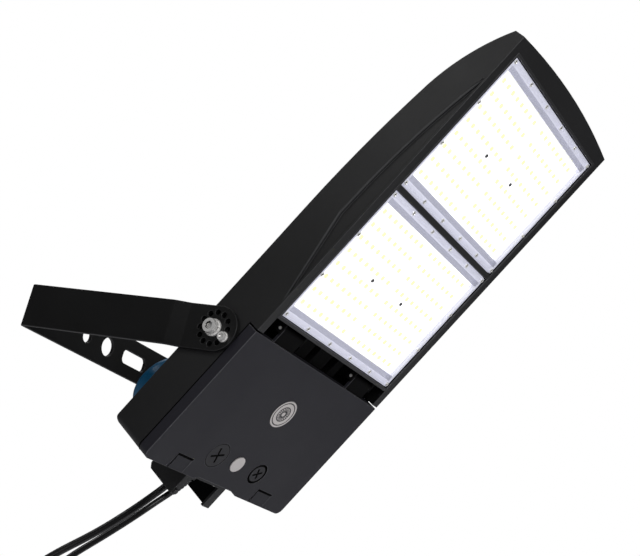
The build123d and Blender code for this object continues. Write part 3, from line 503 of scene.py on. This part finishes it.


# Edge colours are the painted edge tint: lighter edges on the castings, door, yoke, plastics and cap are
# painted highlights; darker edges on the slate screws, stainless, satin silver and lens flange are painted
# shade
black_casting = finish("black_casting", grey(0.0085), grey(0.0115), rough=(0.40, 0.50), fine_scale=1400,
                       patch_scale=9, relief=0.00004, edge=grey(0.030))
# A lighter copy of black_casting for the tray lip: painted highlight
lip_casting_painted_highlight = finish("lip_casting_painted_highlight", grey(0.022), grey(0.028), rough=(0.40, 0.50), fine_scale=1400,
                     patch_scale=9, relief=0.00004, edge=grey(0.05))
# Near black laid into recesses, slots, seams, sockets and screw recesses: painted shade
painted_shade_black = finish("painted_shade_black", grey(0.0012), grey(0.0022), rough=(0.7, 0.8), fine_scale=1400,
                      patch_scale=9, relief=0.00002, specular=0.1)
slate_door = finish("slate_door", (0.0115, 0.0110, 0.0165), (0.0150, 0.0145, 0.0205),
                    rough=(0.44, 0.54), fine_scale=1400, patch_scale=9, relief=0.00004, specular=0.4,
                    edge=(0.070, 0.070, 0.076))
slate_screw = finish("slate_screw", (0.0120, 0.0115, 0.0150), (0.0150, 0.0145, 0.0185),
                     rough=(0.44, 0.54), fine_scale=1400, patch_scale=9, relief=0.00004,
                     edge=grey(0.006))
yoke_steel = finish("yoke_steel", grey(0.0030), grey(0.0048), rough=(0.38, 0.48), fine_scale=1200,
                    patch_scale=12, relief=0.00003, specular=0.4, edge=grey(0.014))
stainless = finish("stainless", (0.84, 0.83, 0.81), (0.95, 0.94, 0.92), rough=(0.20, 0.32),
                   fine_scale=1800, patch_scale=40, relief=0.00001, metallic=0.5,
                   edge=(0.45, 0.44, 0.43))
dark_steel = finish("dark_steel", grey(0.05), grey(0.08), rough=(0.3, 0.4), fine_scale=1800,
                    patch_scale=40, relief=0.00001, metallic=0.7)
black_rubber = finish("black_rubber", grey(0.0065), grey(0.010), rough=(0.24, 0.32), fine_scale=400,
                      patch_scale=25, relief=0.000003)
grey_rubber = finish("grey_rubber", grey(0.10), grey(0.13), rough=(0.55, 0.65), fine_scale=700,
                     patch_scale=30)
# Emission gives the pale rubber a painted glow, as light from the chips
pale_rubber_painted_glow = finish("pale_rubber_painted_glow", (0.55, 0.55, 0.64), (0.62, 0.62, 0.72), rough=(0.45, 0.6),
                     fine_scale=500, patch_scale=30, emission=(0.80, 0.80, 0.92),
                     emission_strength=0.35)
white_board = painted_glow_board("white_board", (0.50, 0.50, 0.60), (1.25, 1.25, 1.25))
chip_phosphor = finish("chip_phosphor", (0.90, 0.90, 0.25), (0.94, 0.94, 0.30), rough=(0.4, 0.5),
                       fine_scale=900, patch_scale=60, relief=0.00001, emission=(1.2, 1.2, 0.42),
                       emission_strength=1.0)
# Emission gives the flange a painted glow as light from the chips; its darker edge colour is painted shade
# on the inner half of the end flanges
lens_flange_painted_glow = finish("lens_flange_painted_glow", (0.74, 0.75, 0.82), (0.84, 0.85, 0.92), rough=(0.08, 0.16),
                     fine_scale=300, patch_scale=60, relief=0.00001, alpha=0.55,
                     edge=(0.20, 0.21, 0.28), emission=(0.8, 0.8, 0.9), emission_strength=0.22)
clear_lens = finish("clear_lens", (0.90, 0.91, 0.95), (0.93, 0.94, 0.98), rough=(0.06, 0.12),
                    fine_scale=300, patch_scale=20, relief=0.00001, alpha=0.05)
black_plastic = finish("black_plastic", grey(0.011), grey(0.016), rough=(0.36, 0.48), fine_scale=1500,
                       patch_scale=20, edge=grey(0.03))
window_glass = finish("window_glass", (0.02, 0.025, 0.03), (0.03, 0.035, 0.04), rough=(0.06, 0.12),
                      fine_scale=300, patch_scale=20, relief=0.000005)
brass = finish("brass", (0.55, 0.38, 0.15), (0.65, 0.47, 0.2), rough=(0.22, 0.35), fine_scale=1500,
               patch_scale=40, relief=0.00001, metallic=1.0)
satin_silver = finish("satin_silver", (0.70, 0.66, 0.64), (0.82, 0.78, 0.76), rough=(0.30, 0.42),
                      fine_scale=2500, patch_scale=60, relief=0.00002, metallic=0.35,
                      edge=(0.05, 0.05, 0.055))
blue_plastic = finish("blue_plastic", (0.001, 0.100, 0.225), (0.002, 0.125, 0.275), rough=(0.26, 0.36),
                      fine_scale=900, patch_scale=20, relief=0.00002, edge=(0.01, 0.20, 0.38))
grey_case = finish("grey_case", grey(0.16), grey(0.2), rough=(0.35, 0.5), fine_scale=1200,
                   patch_scale=20, metallic=0.6)
white_plastic = finish("white_plastic", grey(0.60), grey(0.66), rough=(0.35, 0.5), fine_scale=900,
                       patch_scale=20, relief=0.00002)
green_plastic = finish("green_plastic", (0.03, 0.13, 0.05), (0.04, 0.17, 0.06), rough=(0.35, 0.5),
                       fine_scale=900, patch_scale=20, relief=0.00002)
copper = finish("copper", (0.65, 0.30, 0.16), (0.75, 0.38, 0.22), rough=(0.25, 0.4), fine_scale=2500,
                patch_scale=80, relief=0.00002, metallic=1.0)
wire_colours = {"black_wire": grey(0.012), "white_wire": grey(0.68), "green_wire": (0.025, 0.18, 0.06),
                "violet_wire": (0.15, 0.04, 0.22), "grey_wire": grey(0.25)}
wires = [finish(name, [c * wire_shade for c in colour], colour, rough=(0.35, 0.5), fine_scale=900,
                patch_scale=30)
         for name, colour in wire_colours.items()]

node_bodies = {node: body for body, nodes in frame["record"]["behaviour"]["bodies"].items()
               for node in nodes}
node_slots = {part["node"]: part["material_slot"] for part in frame["record"]["subparts"]}
slot_finishes = {
    "black_casting": black_casting, "slate_door": slate_door, "yoke_steel": yoke_steel,
    "stainless": stainless, "plain_aluminium": satin_silver, "black_rubber": black_rubber,
    "grey_rubber": grey_rubber,
    "white_rubber": pale_rubber_painted_glow, "clear_lens": clear_lens, "white_board": white_board,
    "chip_phosphor": chip_phosphor, "blue_cap": blue_plastic, "black_plastic": black_plastic,
    "brass_blades": brass, "silver_label": satin_silver, "driver_case": grey_case,
    "green_plastic": green_plastic, "white_plastic": white_plastic, "wire_jacket": wires[0],
    "copper_ends": copper,
}
for node, slot_name in node_slots.items():
    mesh = frame["nodes"][node].data
    mesh.materials.clear()
    # The door gasket takes the painted shade black, as shade in the seam
    mesh.materials.append(painted_shade_black if node == "door_gasket" else slot_finishes[slot_name])


def dress(piece, material, body, slot, *nodes):
    piece.data.materials.clear()
    piece.data.materials.append(material)
    if body:
        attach(piece, body)
    if nodes:
        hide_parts(*nodes)


# Camera and lights
def make_camera():
    data = bpy.data.cameras.new("camera")
    data.lens = camera_lens
    data.clip_end = 50
    camera = bpy.data.objects.new("camera", data)
    bpy.context.scene.collection.objects.link(camera)
    forward = camera_forward.normalized()
    right = forward.cross(camera_up).normalized()
    up = right.cross(forward)
    turn = Matrix((right, up, -forward)).transposed().to_4x4()
    camera.matrix_world = Matrix.Translation(camera_place) @ turn
    bpy.context.scene.camera = camera


def soft_light(name, place, target, size, power):
    data = bpy.data.lights.new(name, "AREA")
    data.shape = "SQUARE"
    data.size = size
    data.energy = power
    light = bpy.data.objects.new(name, data)
    bpy.context.scene.collection.objects.link(light)
    look = (Vector(target) - Vector(place)).to_track_quat("-Z", "Y")
    light.matrix_world = Matrix.Translation(place) @ look.to_matrix().to_4x4()


make_camera()
soft_light("key_light", (-1.5, -1.9, 0.6), (0, -0.3, 0), 1.0, 24)
soft_light("floor_light", (0.9, -0.8, 1.3), (0.7, -0.6, -0.43), 0.6, 11)
soft_light("tip_panel", (-1.4, 0.2, 1.1), (-0.15, -0.5, 0.37), 0.6, 2.5)
soft_light("top_light", (0.4, 0.6, 1.8), (0, -0.3, 0), 1.2, 7)

world = bpy.data.worlds.new("studio")
bpy.context.scene.world = world
world.use_nodes = True
world_nodes, world_links = world.node_tree.nodes, world.node_tree.links
sky = world_nodes["Background"]
sky.inputs["Color"].default_value = (1, 1, 1, 1)
rays = world_nodes.new("ShaderNodeLightPath")
brightness = world_nodes.new("ShaderNodeMapRange")
brightness.inputs["To Min"].default_value = sky_fill
brightness.inputs["To Max"].default_value = sky_seen
world_links.new(rays.outputs["Is Camera Ray"], brightness.inputs["Value"])
world_links.new(brightness.outputs["Result"], sky.inputs["Strength"])
bpy.context.scene.view_settings.view_transform = "Standard"


# Cables: one spline each, from the gland down to the coil and round its turns
def coil_points(route, diameter, radius, side):
    heading = (Vector(route[-1]) - Vector(route[-2])).normalized()
    level = Vector((heading.x, heading.y, 0)).normalized()
    upward = Vector((0, 0, 1))
    across = upward.cross(level) * side
    pitch = diameter + coil_turn_gap
    entry = Vector(route[-1]) + heading * diameter
    first = math.pi / 2 + math.asin(heading.z)
    centre = entry - (level * math.cos(first) + upward * math.sin(first)) * radius
    step = 2 * math.pi / points_per_turn
    outer = radius / math.cos(step / 2)
    last = -2 * math.pi * coil_turns
    count = math.ceil((first - last) / step)
    points = []
    for i in range(count + 1):
        angle = first + (last - first) * i / count
        reach = outer if 0 < i < count else radius
        points.append(centre + (level * math.cos(angle) + upward * math.sin(angle)) * reach
                      + across * pitch * (first - angle) / (2 * math.pi))
    points.append(points[-1] - upward * diameter)
    return points


def spline_curve(name, points, radius=0.0, resolution=route_resolution, radii=None):
    curve = bpy.data.curves.new(name, "CURVE")
    curve.dimensions = "3D"
    curve.resolution_u = resolution
    curve.bevel_depth = radius
    curve.bevel_resolution = tube_roundness
    curve.use_fill_caps = radius > 0
    spline = curve.splines.new("NURBS")
    spline.points.add(len(points) - 1)
    for i, (point, place) in enumerate(zip(spline.points, points)):
        point.co = (*place, 1)
        point.radius = radii[i] if radii else 1.0
    spline.order_u = 3
    spline.use_endpoint_u = True
    return bpy.data.objects.new(name, curve)


def line_of(points):
    plain = spline_curve("route", points)
    mesh = bpy.data.meshes.new_from_object(plain)
    line = [v.co.copy() for v in mesh.vertices]
    bpy.data.meshes.remove(mesh)
    return line


def tube_piece(name, points, radius, radii=None, resolution=route_resolution):
    curve = spline_curve(name + "_curve", points, radius, resolution, radii)
    mesh = bpy.data.meshes.new_from_object(curve)
    mesh.name = name
    bm = bmesh.new()
    bm.from_mesh(mesh)
    return piece_from(bm, name)


def along(line, length):
    walked = 0.0
    for a, b in zip(line, line[1:]):
        run = (b - a).length
        if walked + run >= length:
            return a.lerp(b, (length - walked) / run)
        walked += run
    return line[-1]


def lead_places(tail, diameter, index, count):
    angle = 2 * math.pi * index / count + lead_turn
    out = Vector((math.cos(angle), math.sin(angle), 0))
    top = tail + out * (diameter / 4 + cable_clearance)
    spread = 1 + lead_unevenness * index
    return [top + out * flare * spread - Vector((0, 0, lead_length * third / 3))
            for third, flare in enumerate(lead_flares)]


def cable(name, route, diameter, radius, side, colours, strand_nodes):
    points = [Vector(p) for p in route] + coil_points(route, diameter, radius, side)
    points = [p * mm for p in points]
    line = line_of(points)
    tube = tube_piece(name + "_cable_run", points, diameter / 2 * mm)
    dress(tube, black_rubber, None, "black_rubber", name + "_cable", name + "_coil")
    tail = points[-1] / mm
    pieces = []
    for i, colour in enumerate(colours):
        places = lead_places(tail, diameter, i, len(colours))
        end = (places[-1] - places[-2]).normalized()
        ends = [places[-1] + end * reach for reach in (-bare_root, bare_end / 2, bare_end)]
        places[0] = places[0] + Vector((0, 0, lead_root))
        wire = tube_piece(f"{name}_lead_{i + 1}", [p * mm for p in places], lead_radius * mm)
        strand = tube_piece(f"{name}_bare_end_{i + 1}", [p * mm for p in ends], bare_radius * mm)
        first = i == 0
        dress(wire, colour, "yoke", "wire_jacket", *([name + "_leads"] if first else []))
        dress(strand, copper, "yoke", "copper_ends", *(strand_nodes if first else []))
        pieces += [wire, strand]
    steps = range(boot_rings + 1)
    boot_points = [along(line, boot_length * mm * k / boot_rings) for k in steps]
    boot_radii = [(1.0 - boot_taper * k / boot_rings) * (1.0 if k % 2 == 0 else boot_groove) for k in steps]
    boot = tube_piece(name + "_strain_relief", boot_points, (diameter / 2 + boot_wall) * mm, boot_radii,
                      boot_resolution)
    dress(boot, black_rubber, "lamp", "black_rubber")
    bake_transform(tube, "lamp", "yoke", start=bend_top, end=bend_foot)


cable("power", power_route, power_diameter, power_coil_radius, -1, wires[:3], ["bare_ends"])
cable("dimming", dimming_route, dimming_diameter, dimming_coil_radius, 1, wires[3:], [])


# Which edges get a wide rounding, which faces get painted shade, and which disc faces take the dark steel
def within(value, span):
    return span[0] < value < span[1]


def on_scallop(edge):
    points = [v.co for v in edge.verts]
    on_side = all(abs(p.x) > half_width - side_slack for p in points)
    in_span = all(within(p.y, scallop_span) and within(-p.z, scallop_depths) for p in points)
    return on_side and in_span and max(-p.z for p in points) > scallop_lip


def on_seam(edge):
    points = [v.co for v in edge.verts]
    on_side = [abs(p.x) > half_width - seam_inset or p.y < seam_inset for p in points]
    on_corner = [abs(p.x) > half_width - seam_corner and p.y < seam_corner for p in points]
    in_band = all(within(-p.z, seam_depths) and p.y < box_length + seam_end for p in points)
    return in_band and all(side or corner for side, corner in zip(on_side, on_corner))


def in_seam(face):
    place = face.calc_center_median()
    level = abs(face.normal.z) > seam_slope
    return within(-place.z, seam_depths) and level and place.y < box_length + seam_face_end


def in_vent_slot(face):
    place = face.calc_center_median()
    across = abs(place.x) < half_width - slot_side_inset
    between_ends = within(place.y, (box_length - slot_slack, slot_end + slot_slack))
    return between_ends and across and place.z < -slot_top


def in_pocket(face):
    place = face.calc_center_median()
    across = abs(place.x) < pocket_half_width
    between_ends = within(place.y, (slot_end + pocket_start, pocket_end))
    return between_ends and across and within(-place.z, pocket_depths)


def in_housing_painted_shade(face):
    return in_vent_slot(face) or in_seam(face) or in_pocket(face)


def in_door_painted_shade(face):
    place = face.calc_center_median()
    on_hook = place.y > box_length + hook_start and abs(face.normal.x) < hook_slope
    across = abs(place.x) < door_hollow_half_width
    along_door = within(place.y, (door_hollow_start, box_length - door_hollow_inset))
    return within(-place.z, door_hollow_depths) and across and along_door or on_hook or in_seam(face)


def in_neck_painted_shade(face):
    place = face.calc_center_median()
    return abs(place.x) < neck_half_width and within(-place.z, neck_depths)


def in_disc_groove(face):
    return face.calc_center_median().z < disc_groove_lift


def in_cross_painted_shade(face):
    return face.calc_center_median().z < -cross_depth


screw_low, screw_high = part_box("index_screws")
index_centre = [(screw_low[k] + screw_high[k]) / 2 / mm for k in (1, 2)]


def head_axis(face):
    place = face.calc_center_median()
    centres = [Vector((place.x, -yoke_reach, 0)), Vector((place.x, *index_centre))]
    centre = min(centres, key=lambda c: (place - c).length)
    return (place - centre).normalized()


def hex_wall(face):
    return abs(face.normal.x) < hex_slope and face.normal.dot(head_axis(face)) < -hex_slope


def in_hex_painted_shade(face):
    place = face.calc_center_median()
    inward = face.normal.x * place.x < 0
    return abs(place.x) > head_foot_x and inward or abs(place.x) > head_socket_x and hex_wall(face)


# Castings, covers and hardware with rounded edges, their recesses, slots, seams, cross slots and hex sockets
# in painted shade black
rounded("lamp_housing", [black_casting, painted_shade_black], casting_round,
        wide=[(on_scallop, scallop_round), (on_seam, seam_round)], recess=in_housing_painted_shade)
rounded("driver_door", [slate_door, painted_shade_black], casting_round, wide=[(on_seam, seam_round)],
        recess=in_door_painted_shade)
for node in ("door_screw_large", "door_screw_small"):
    rounded(node, [slate_screw, painted_shade_black], hardware_round, recess=in_cross_painted_shade)
rounded("cable_neck", [black_casting, painted_shade_black], casting_round, recess=in_neck_painted_shade)
rounded("yoke_bracket", [yoke_steel], casting_round, row_scale)
for node in ("pivot_screws", "index_screws"):
    rounded(node, [stainless, painted_shade_black], hardware_round, row_scale, recess=in_hex_painted_shade)
for node in ("pivot_washers", "spring_washers", "index_washers"):
    rounded(node, [stainless], hardware_round, row_scale)
for node in ("door_vent_plug", "neck_screws", "driver_screws", "hinge_pins"):
    rounded(node, [slot_finishes[node_slots[node]]], hardware_round)
rounded("door_disc", [satin_silver, dark_steel], disc_round, recess=in_disc_groove)
for node in ("neck_lip_screw", "gland_bodies", "gland_caps", "photocell_socket",
             "photocell_base", "photocell_cap", "led_driver", "surge_protector", "terminal_block",
             "door_plug_nut", "gland_locknuts"):
    rounded(node, [slot_finishes[node_slots[node]]], hardware_round)


# Light boards, chips and lens plates
def chip_places(start, end):
    pitch_y = (end - start - 2 * chip_end_inset) / (chip_rows - 1)
    pitch_x = (chip_edge - chip_centre) / (chips_per_half_row - 1)
    return [(side * (chip_centre + column * pitch_x), start + chip_end_inset + row * pitch_y)
            for row in range(chip_rows) for side in (-1, 1) for column in range(chips_per_half_row)]


def lens_screw_places(start, end):
    middle = (start + end) / 2
    side = end_screw_offsets[-1]
    ends = (start + screw_edge_inset, end - screw_edge_inset)
    sides = (middle - side_screw_offset, middle + side_screw_offset)
    return [(x, y) for x in end_screw_offsets for y in ends] + [(x, y) for x in (-side, side) for y in sides]


def field_lines(start, end):
    x = half_lens - side_flange
    return [-half_lens, -x, x, half_lens], [start, start + end_flange, end - end_flange, end]


def in_field(face, start, end):
    place = face.calc_center_median()
    return abs(place.x) < half_lens - side_flange and start + end_flange < place.y < end - end_flange


def light_board(number, start, end):
    bm = panels(*field_lines(start, end), board_depth)
    # The field is flagged to glow full; the margins under the flanges glow dimmer as painted shade
    glow = bm.faces.layers.float.new("glow")
    for face in bm.faces:
        face[glow] = 1.0 if in_field(face, start, end) else 0.0
    bmesh.ops.solidify(bm, geom=bm.faces[:], thickness=board_thickness)
    piece = piece_from(bm, f"light_board_{number}", lamp_to_row)
    dress(piece, white_board, "lamp", "white_board", f"led_board_{number}")


def light_chips(number, start, end):
    unit = bmesh.new()
    bmesh.ops.create_cube(unit, size=1.0, matrix=Matrix.Diagonal((chip_width, chip_width, chip_height, 1)))
    corners = [e for e in unit.edges if abs(e.verts[0].co.z - e.verts[1].co.z) > chip_height / 2]
    bmesh.ops.bevel(unit, geom=corners, offset=chip_corner, segments=chip_segments, affect="EDGES",
                    profile=0.5, material=-1)
    shape = unit_from(unit, "chip")
    bm = bmesh.new()
    middle_depth = board_depth - chip_height / 2
    scatter(bm, shape, [lamp_place(x, y, middle_depth) for x, y in chip_places(start, end)])
    piece = piece_from(bm, f"light_chips_{number}", lamp_to_row)
    dress(piece, chip_phosphor, "lamp", "chip_phosphor", f"led_chips_{number}")


# A rectangle grown by four walls at a time to the next size and depth
def rectangle_place(x, y0, y1, depth):
    return lamp_place(0, (y0 + y1) / 2, depth) @ Matrix.Diagonal((x, (y1 - y0) / 2, 1, 1))


def stepped_walls(bm, rings):
    places = [rectangle_place(*ring) for ring in rings]
    corners = bmesh.ops.create_grid(bm, x_segments=1, y_segments=1, size=1.0, matrix=places[0])["verts"]
    base = corners[0].link_faces[0]
    rim = base.edges[:]
    walls = []
    for earlier, later in zip(places, places[1:]):
        grown = bmesh.ops.extrude_edge_only(bm, edges=rim)["geom"]
        corners = [part for part in grown if isinstance(part, bmesh.types.BMVert)]
        walls += [part for part in grown if isinstance(part, bmesh.types.BMFace)]
        rim = [part for part in grown
               if isinstance(part, bmesh.types.BMEdge) and all(v in corners for v in part.verts)]
        bmesh.ops.transform(bm, matrix=later @ earlier.inverted(), verts=corners)
    return base, rim, walls


def stepped_sheet(bm, rings):
    base, rim, walls = stepped_walls(bm, rings)
    last = bmesh.ops.edgeloop_fill(bm, edges=rim)["faces"][0]
    return [base, last], walls


def lens_rings(start, end):
    field = half_lens - side_flange - wall_lean
    inner = half_lens - side_flange
    split = half_lens - side_flange / 2
    lean = end_flange + wall_lean
    levels = [(field, lean, field_depth), (inner, end_flange, lens_top), (split, flange_split, lens_top),
              (half_lens, 0, lens_top)]
    under = [(x, inset, depth + flange_thickness) for x, inset, depth in reversed(levels)]
    return [(x, start + inset, end - inset, depth) for x, inset, depth in levels + under]


def boss_shape():
    bm = bmesh.new()
    bmesh.ops.create_cone(bm, cap_ends=True, segments=boss_sides, radius1=boss_radius,
                          radius2=boss_top_radius, depth=boss_height)
    return unit_from(bm, "boss")


def dome_shape():
    bm = bmesh.new()
    around, upward = dome_steps
    bmesh.ops.create_uvsphere(bm, u_segments=around, v_segments=upward, radius=1.0,
                              matrix=Matrix.Diagonal((*dome_radii, 1)))
    bmesh.ops.bisect_plane(bm, geom=bm.verts[:] + bm.edges[:] + bm.faces[:], dist=cut_distance,
                           plane_co=(0, 0, dome_foot), plane_no=(0, 0, 1), clear_inner=True)
    bmesh.ops.holes_fill(bm, edges=bm.edges[:])
    for face in bm.faces:
        face.material_index = 1
    return unit_from(bm, "dome")


def lens_ribs(bm, start, end):
    for inset in rib_insets:
        x, y0, y1 = half_lens - inset, start + inset, end - inset
        spans = [((-x, x), (y0, y0 + rib_width)), ((-x, x), (y1 - rib_width, y1)),
                 ((-x, rib_width - x), (y0, y1)), ((x - rib_width, x), (y0, y1))]
        for x_range, y_range in spans:
            plate(bm, x_range, y_range, (lens_top - rib_height, lens_top + rib_sink), rib_edge)


def lens_plate(number, start, end):
    boss_places = [lamp_place(x, y, lens_top - boss_height / 2) for x, y in lens_screw_places(start, end)]
    dome_places = [lamp_place(x, y, field_depth) for x, y in chip_places(start, end)]
    bm = bmesh.new()
    scatter(bm, boss_shape(), boss_places)
    scatter(bm, dome_shape(), dome_places)
    flange_painted_shade = bm.faces.layers.float.new("edge")
    fields, walls = stepped_sheet(bm, lens_rings(start, end))
    for face in fields:
        face.material_index = 1
    # The inner half of each end flange is flagged for the flange's darker edge colour, painted shade
    for face in walls:
        place = face.calc_center_median()
        end_gap = min(place.y - start, end - place.y)
        crosses_middle = abs(place.x) < middle_slack
        face[flange_painted_shade] = 1.0 if crosses_middle and within(end_gap, (flange_split, end_flange)) else 0.0
    lens_ribs(bm, start, end)
    piece = piece_from(bm, f"lens_plate_{number}", lamp_to_row)
    piece.data.materials.append(lens_flange_painted_glow)
    piece.data.materials.append(clear_lens)
    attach(piece, "lamp")
    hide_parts(f"lens_{number}")


def screw_heads(name, node, head, places, depth, metal):
    bm = bmesh.new()
    scatter(bm, screw_head(*head), [lamp_place(x, y, depth) for x, y in places])
    piece = piece_from(bm, name, lamp_to_row)
    piece.data.materials.append(metal)
    piece.data.materials.append(painted_shade_black)
    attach(piece, "lamp")
    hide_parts(node)


lens_places = []
board_places = []
for number, (start, end) in enumerate(lens_spans, start=1):
    light_board(number, start, end)
    light_chips(number, start, end)
    lens_plate(number, start, end)
    lens_places += lens_screw_places(start, end)
    board_places += [(x, (start + end) / 2) for x in (-board_screw_offset, board_screw_offset)]
screw_heads("lens_screw_heads", "lens_screws", lens_screw_head, lens_places, lens_top - lens_screw_proud,
            stainless)
screw_heads("board_screw_heads", "board_screws", board_screw_head, board_places, board_depth, dark_steel)


# Raised lip round the light openings, in a lighter copy of the casting finish that paints a highlight along
# it
def tray_lip():
    bm = bmesh.new()
    bm.faces.layers.float.new("edge")
    section = ((0, lip_root), (0, -lip_height), (lip_width, -lip_height), (lip_width, lip_root),
               (0, lip_root))
    rings = [(lip_outer_x - inset, lip_y[0] + inset, lip_y[1] - inset, depth) for inset, depth in section]
    base = stepped_walls(bm, rings)[0]
    bmesh.ops.delete(bm, geom=[base], context="FACES_ONLY")
    bmesh.ops.remove_doubles(bm, verts=bm.verts, dist=merge_distance)
    bmesh.ops.recalc_face_normals(bm, faces=bm.faces)
    upper = [e for e in sharp_edges(bm) if all(v.co.z > 0 for v in e.verts)]
    round_edges(bm, upper, lip_round)
    piece = piece_from(bm, "tray_lip", lamp_to_row, crease_angle)
    dress(piece, lip_casting_painted_highlight, "lamp", "black_casting")
    even_normals(piece)


tray_lip()


# Plain tick marks between the two rings of the round disc
def disc_ticks():
    bm = bmesh.new()
    unit = bmesh.new()
    plate(unit, (-tick_width / 2, tick_width / 2), tick_reach,
          (-disc_proud - tick_height, -disc_proud + tick_sink), tick_edge)
    turns = [Matrix.Rotation(2 * math.pi * i / tick_count, 4, "Z") for i in range(tick_count)]
    scatter(bm, unit_from(unit, "tick"), [lamp_place(*disc_place, 0) @ turn for turn in turns])
    piece = piece_from(bm, "disc_ticks", lamp_to_row)
    dress(piece, dark_steel, "driver_door", "silver_label")


disc_ticks()


# Light sensor window on the photocell's crown
def cell_window():
    bm = bmesh.new()
    bmesh.ops.create_cone(bm, cap_ends=True, segments=window_sides, radius1=window_radius,
                          radius2=window_radius + window_ring, depth=window_height,
                          matrix=lamp_place(*cell_place, cell_top + window_lift))
    crown = min(bm.faces, key=lambda f: f.calc_center_median().z)
    bmesh.ops.inset_region(bm, faces=[crown], thickness=window_ring, depth=-window_dish)
    piece = piece_from(bm, "cell_window", lamp_to_row)
    dress(piece, window_glass, "photocell", "black_plastic")


cell_window()

# Studio floor, below everything that hangs
floor_mesh = bmesh.new()
floor_height = cad_box[0].z - floor_drop
bmesh.ops.create_grid(floor_mesh, x_segments=1, y_segments=1, size=floor_size)
floor = piece_from(floor_mesh, "studio_floor", Matrix.Translation((0, 0, floor_height)))
floor.data.materials.append(finish("pale_floor", grey(0.80), grey(0.84), rough=(0.35, 0.5),
                                   fine_scale=60, patch_scale=2, relief=0.00002))
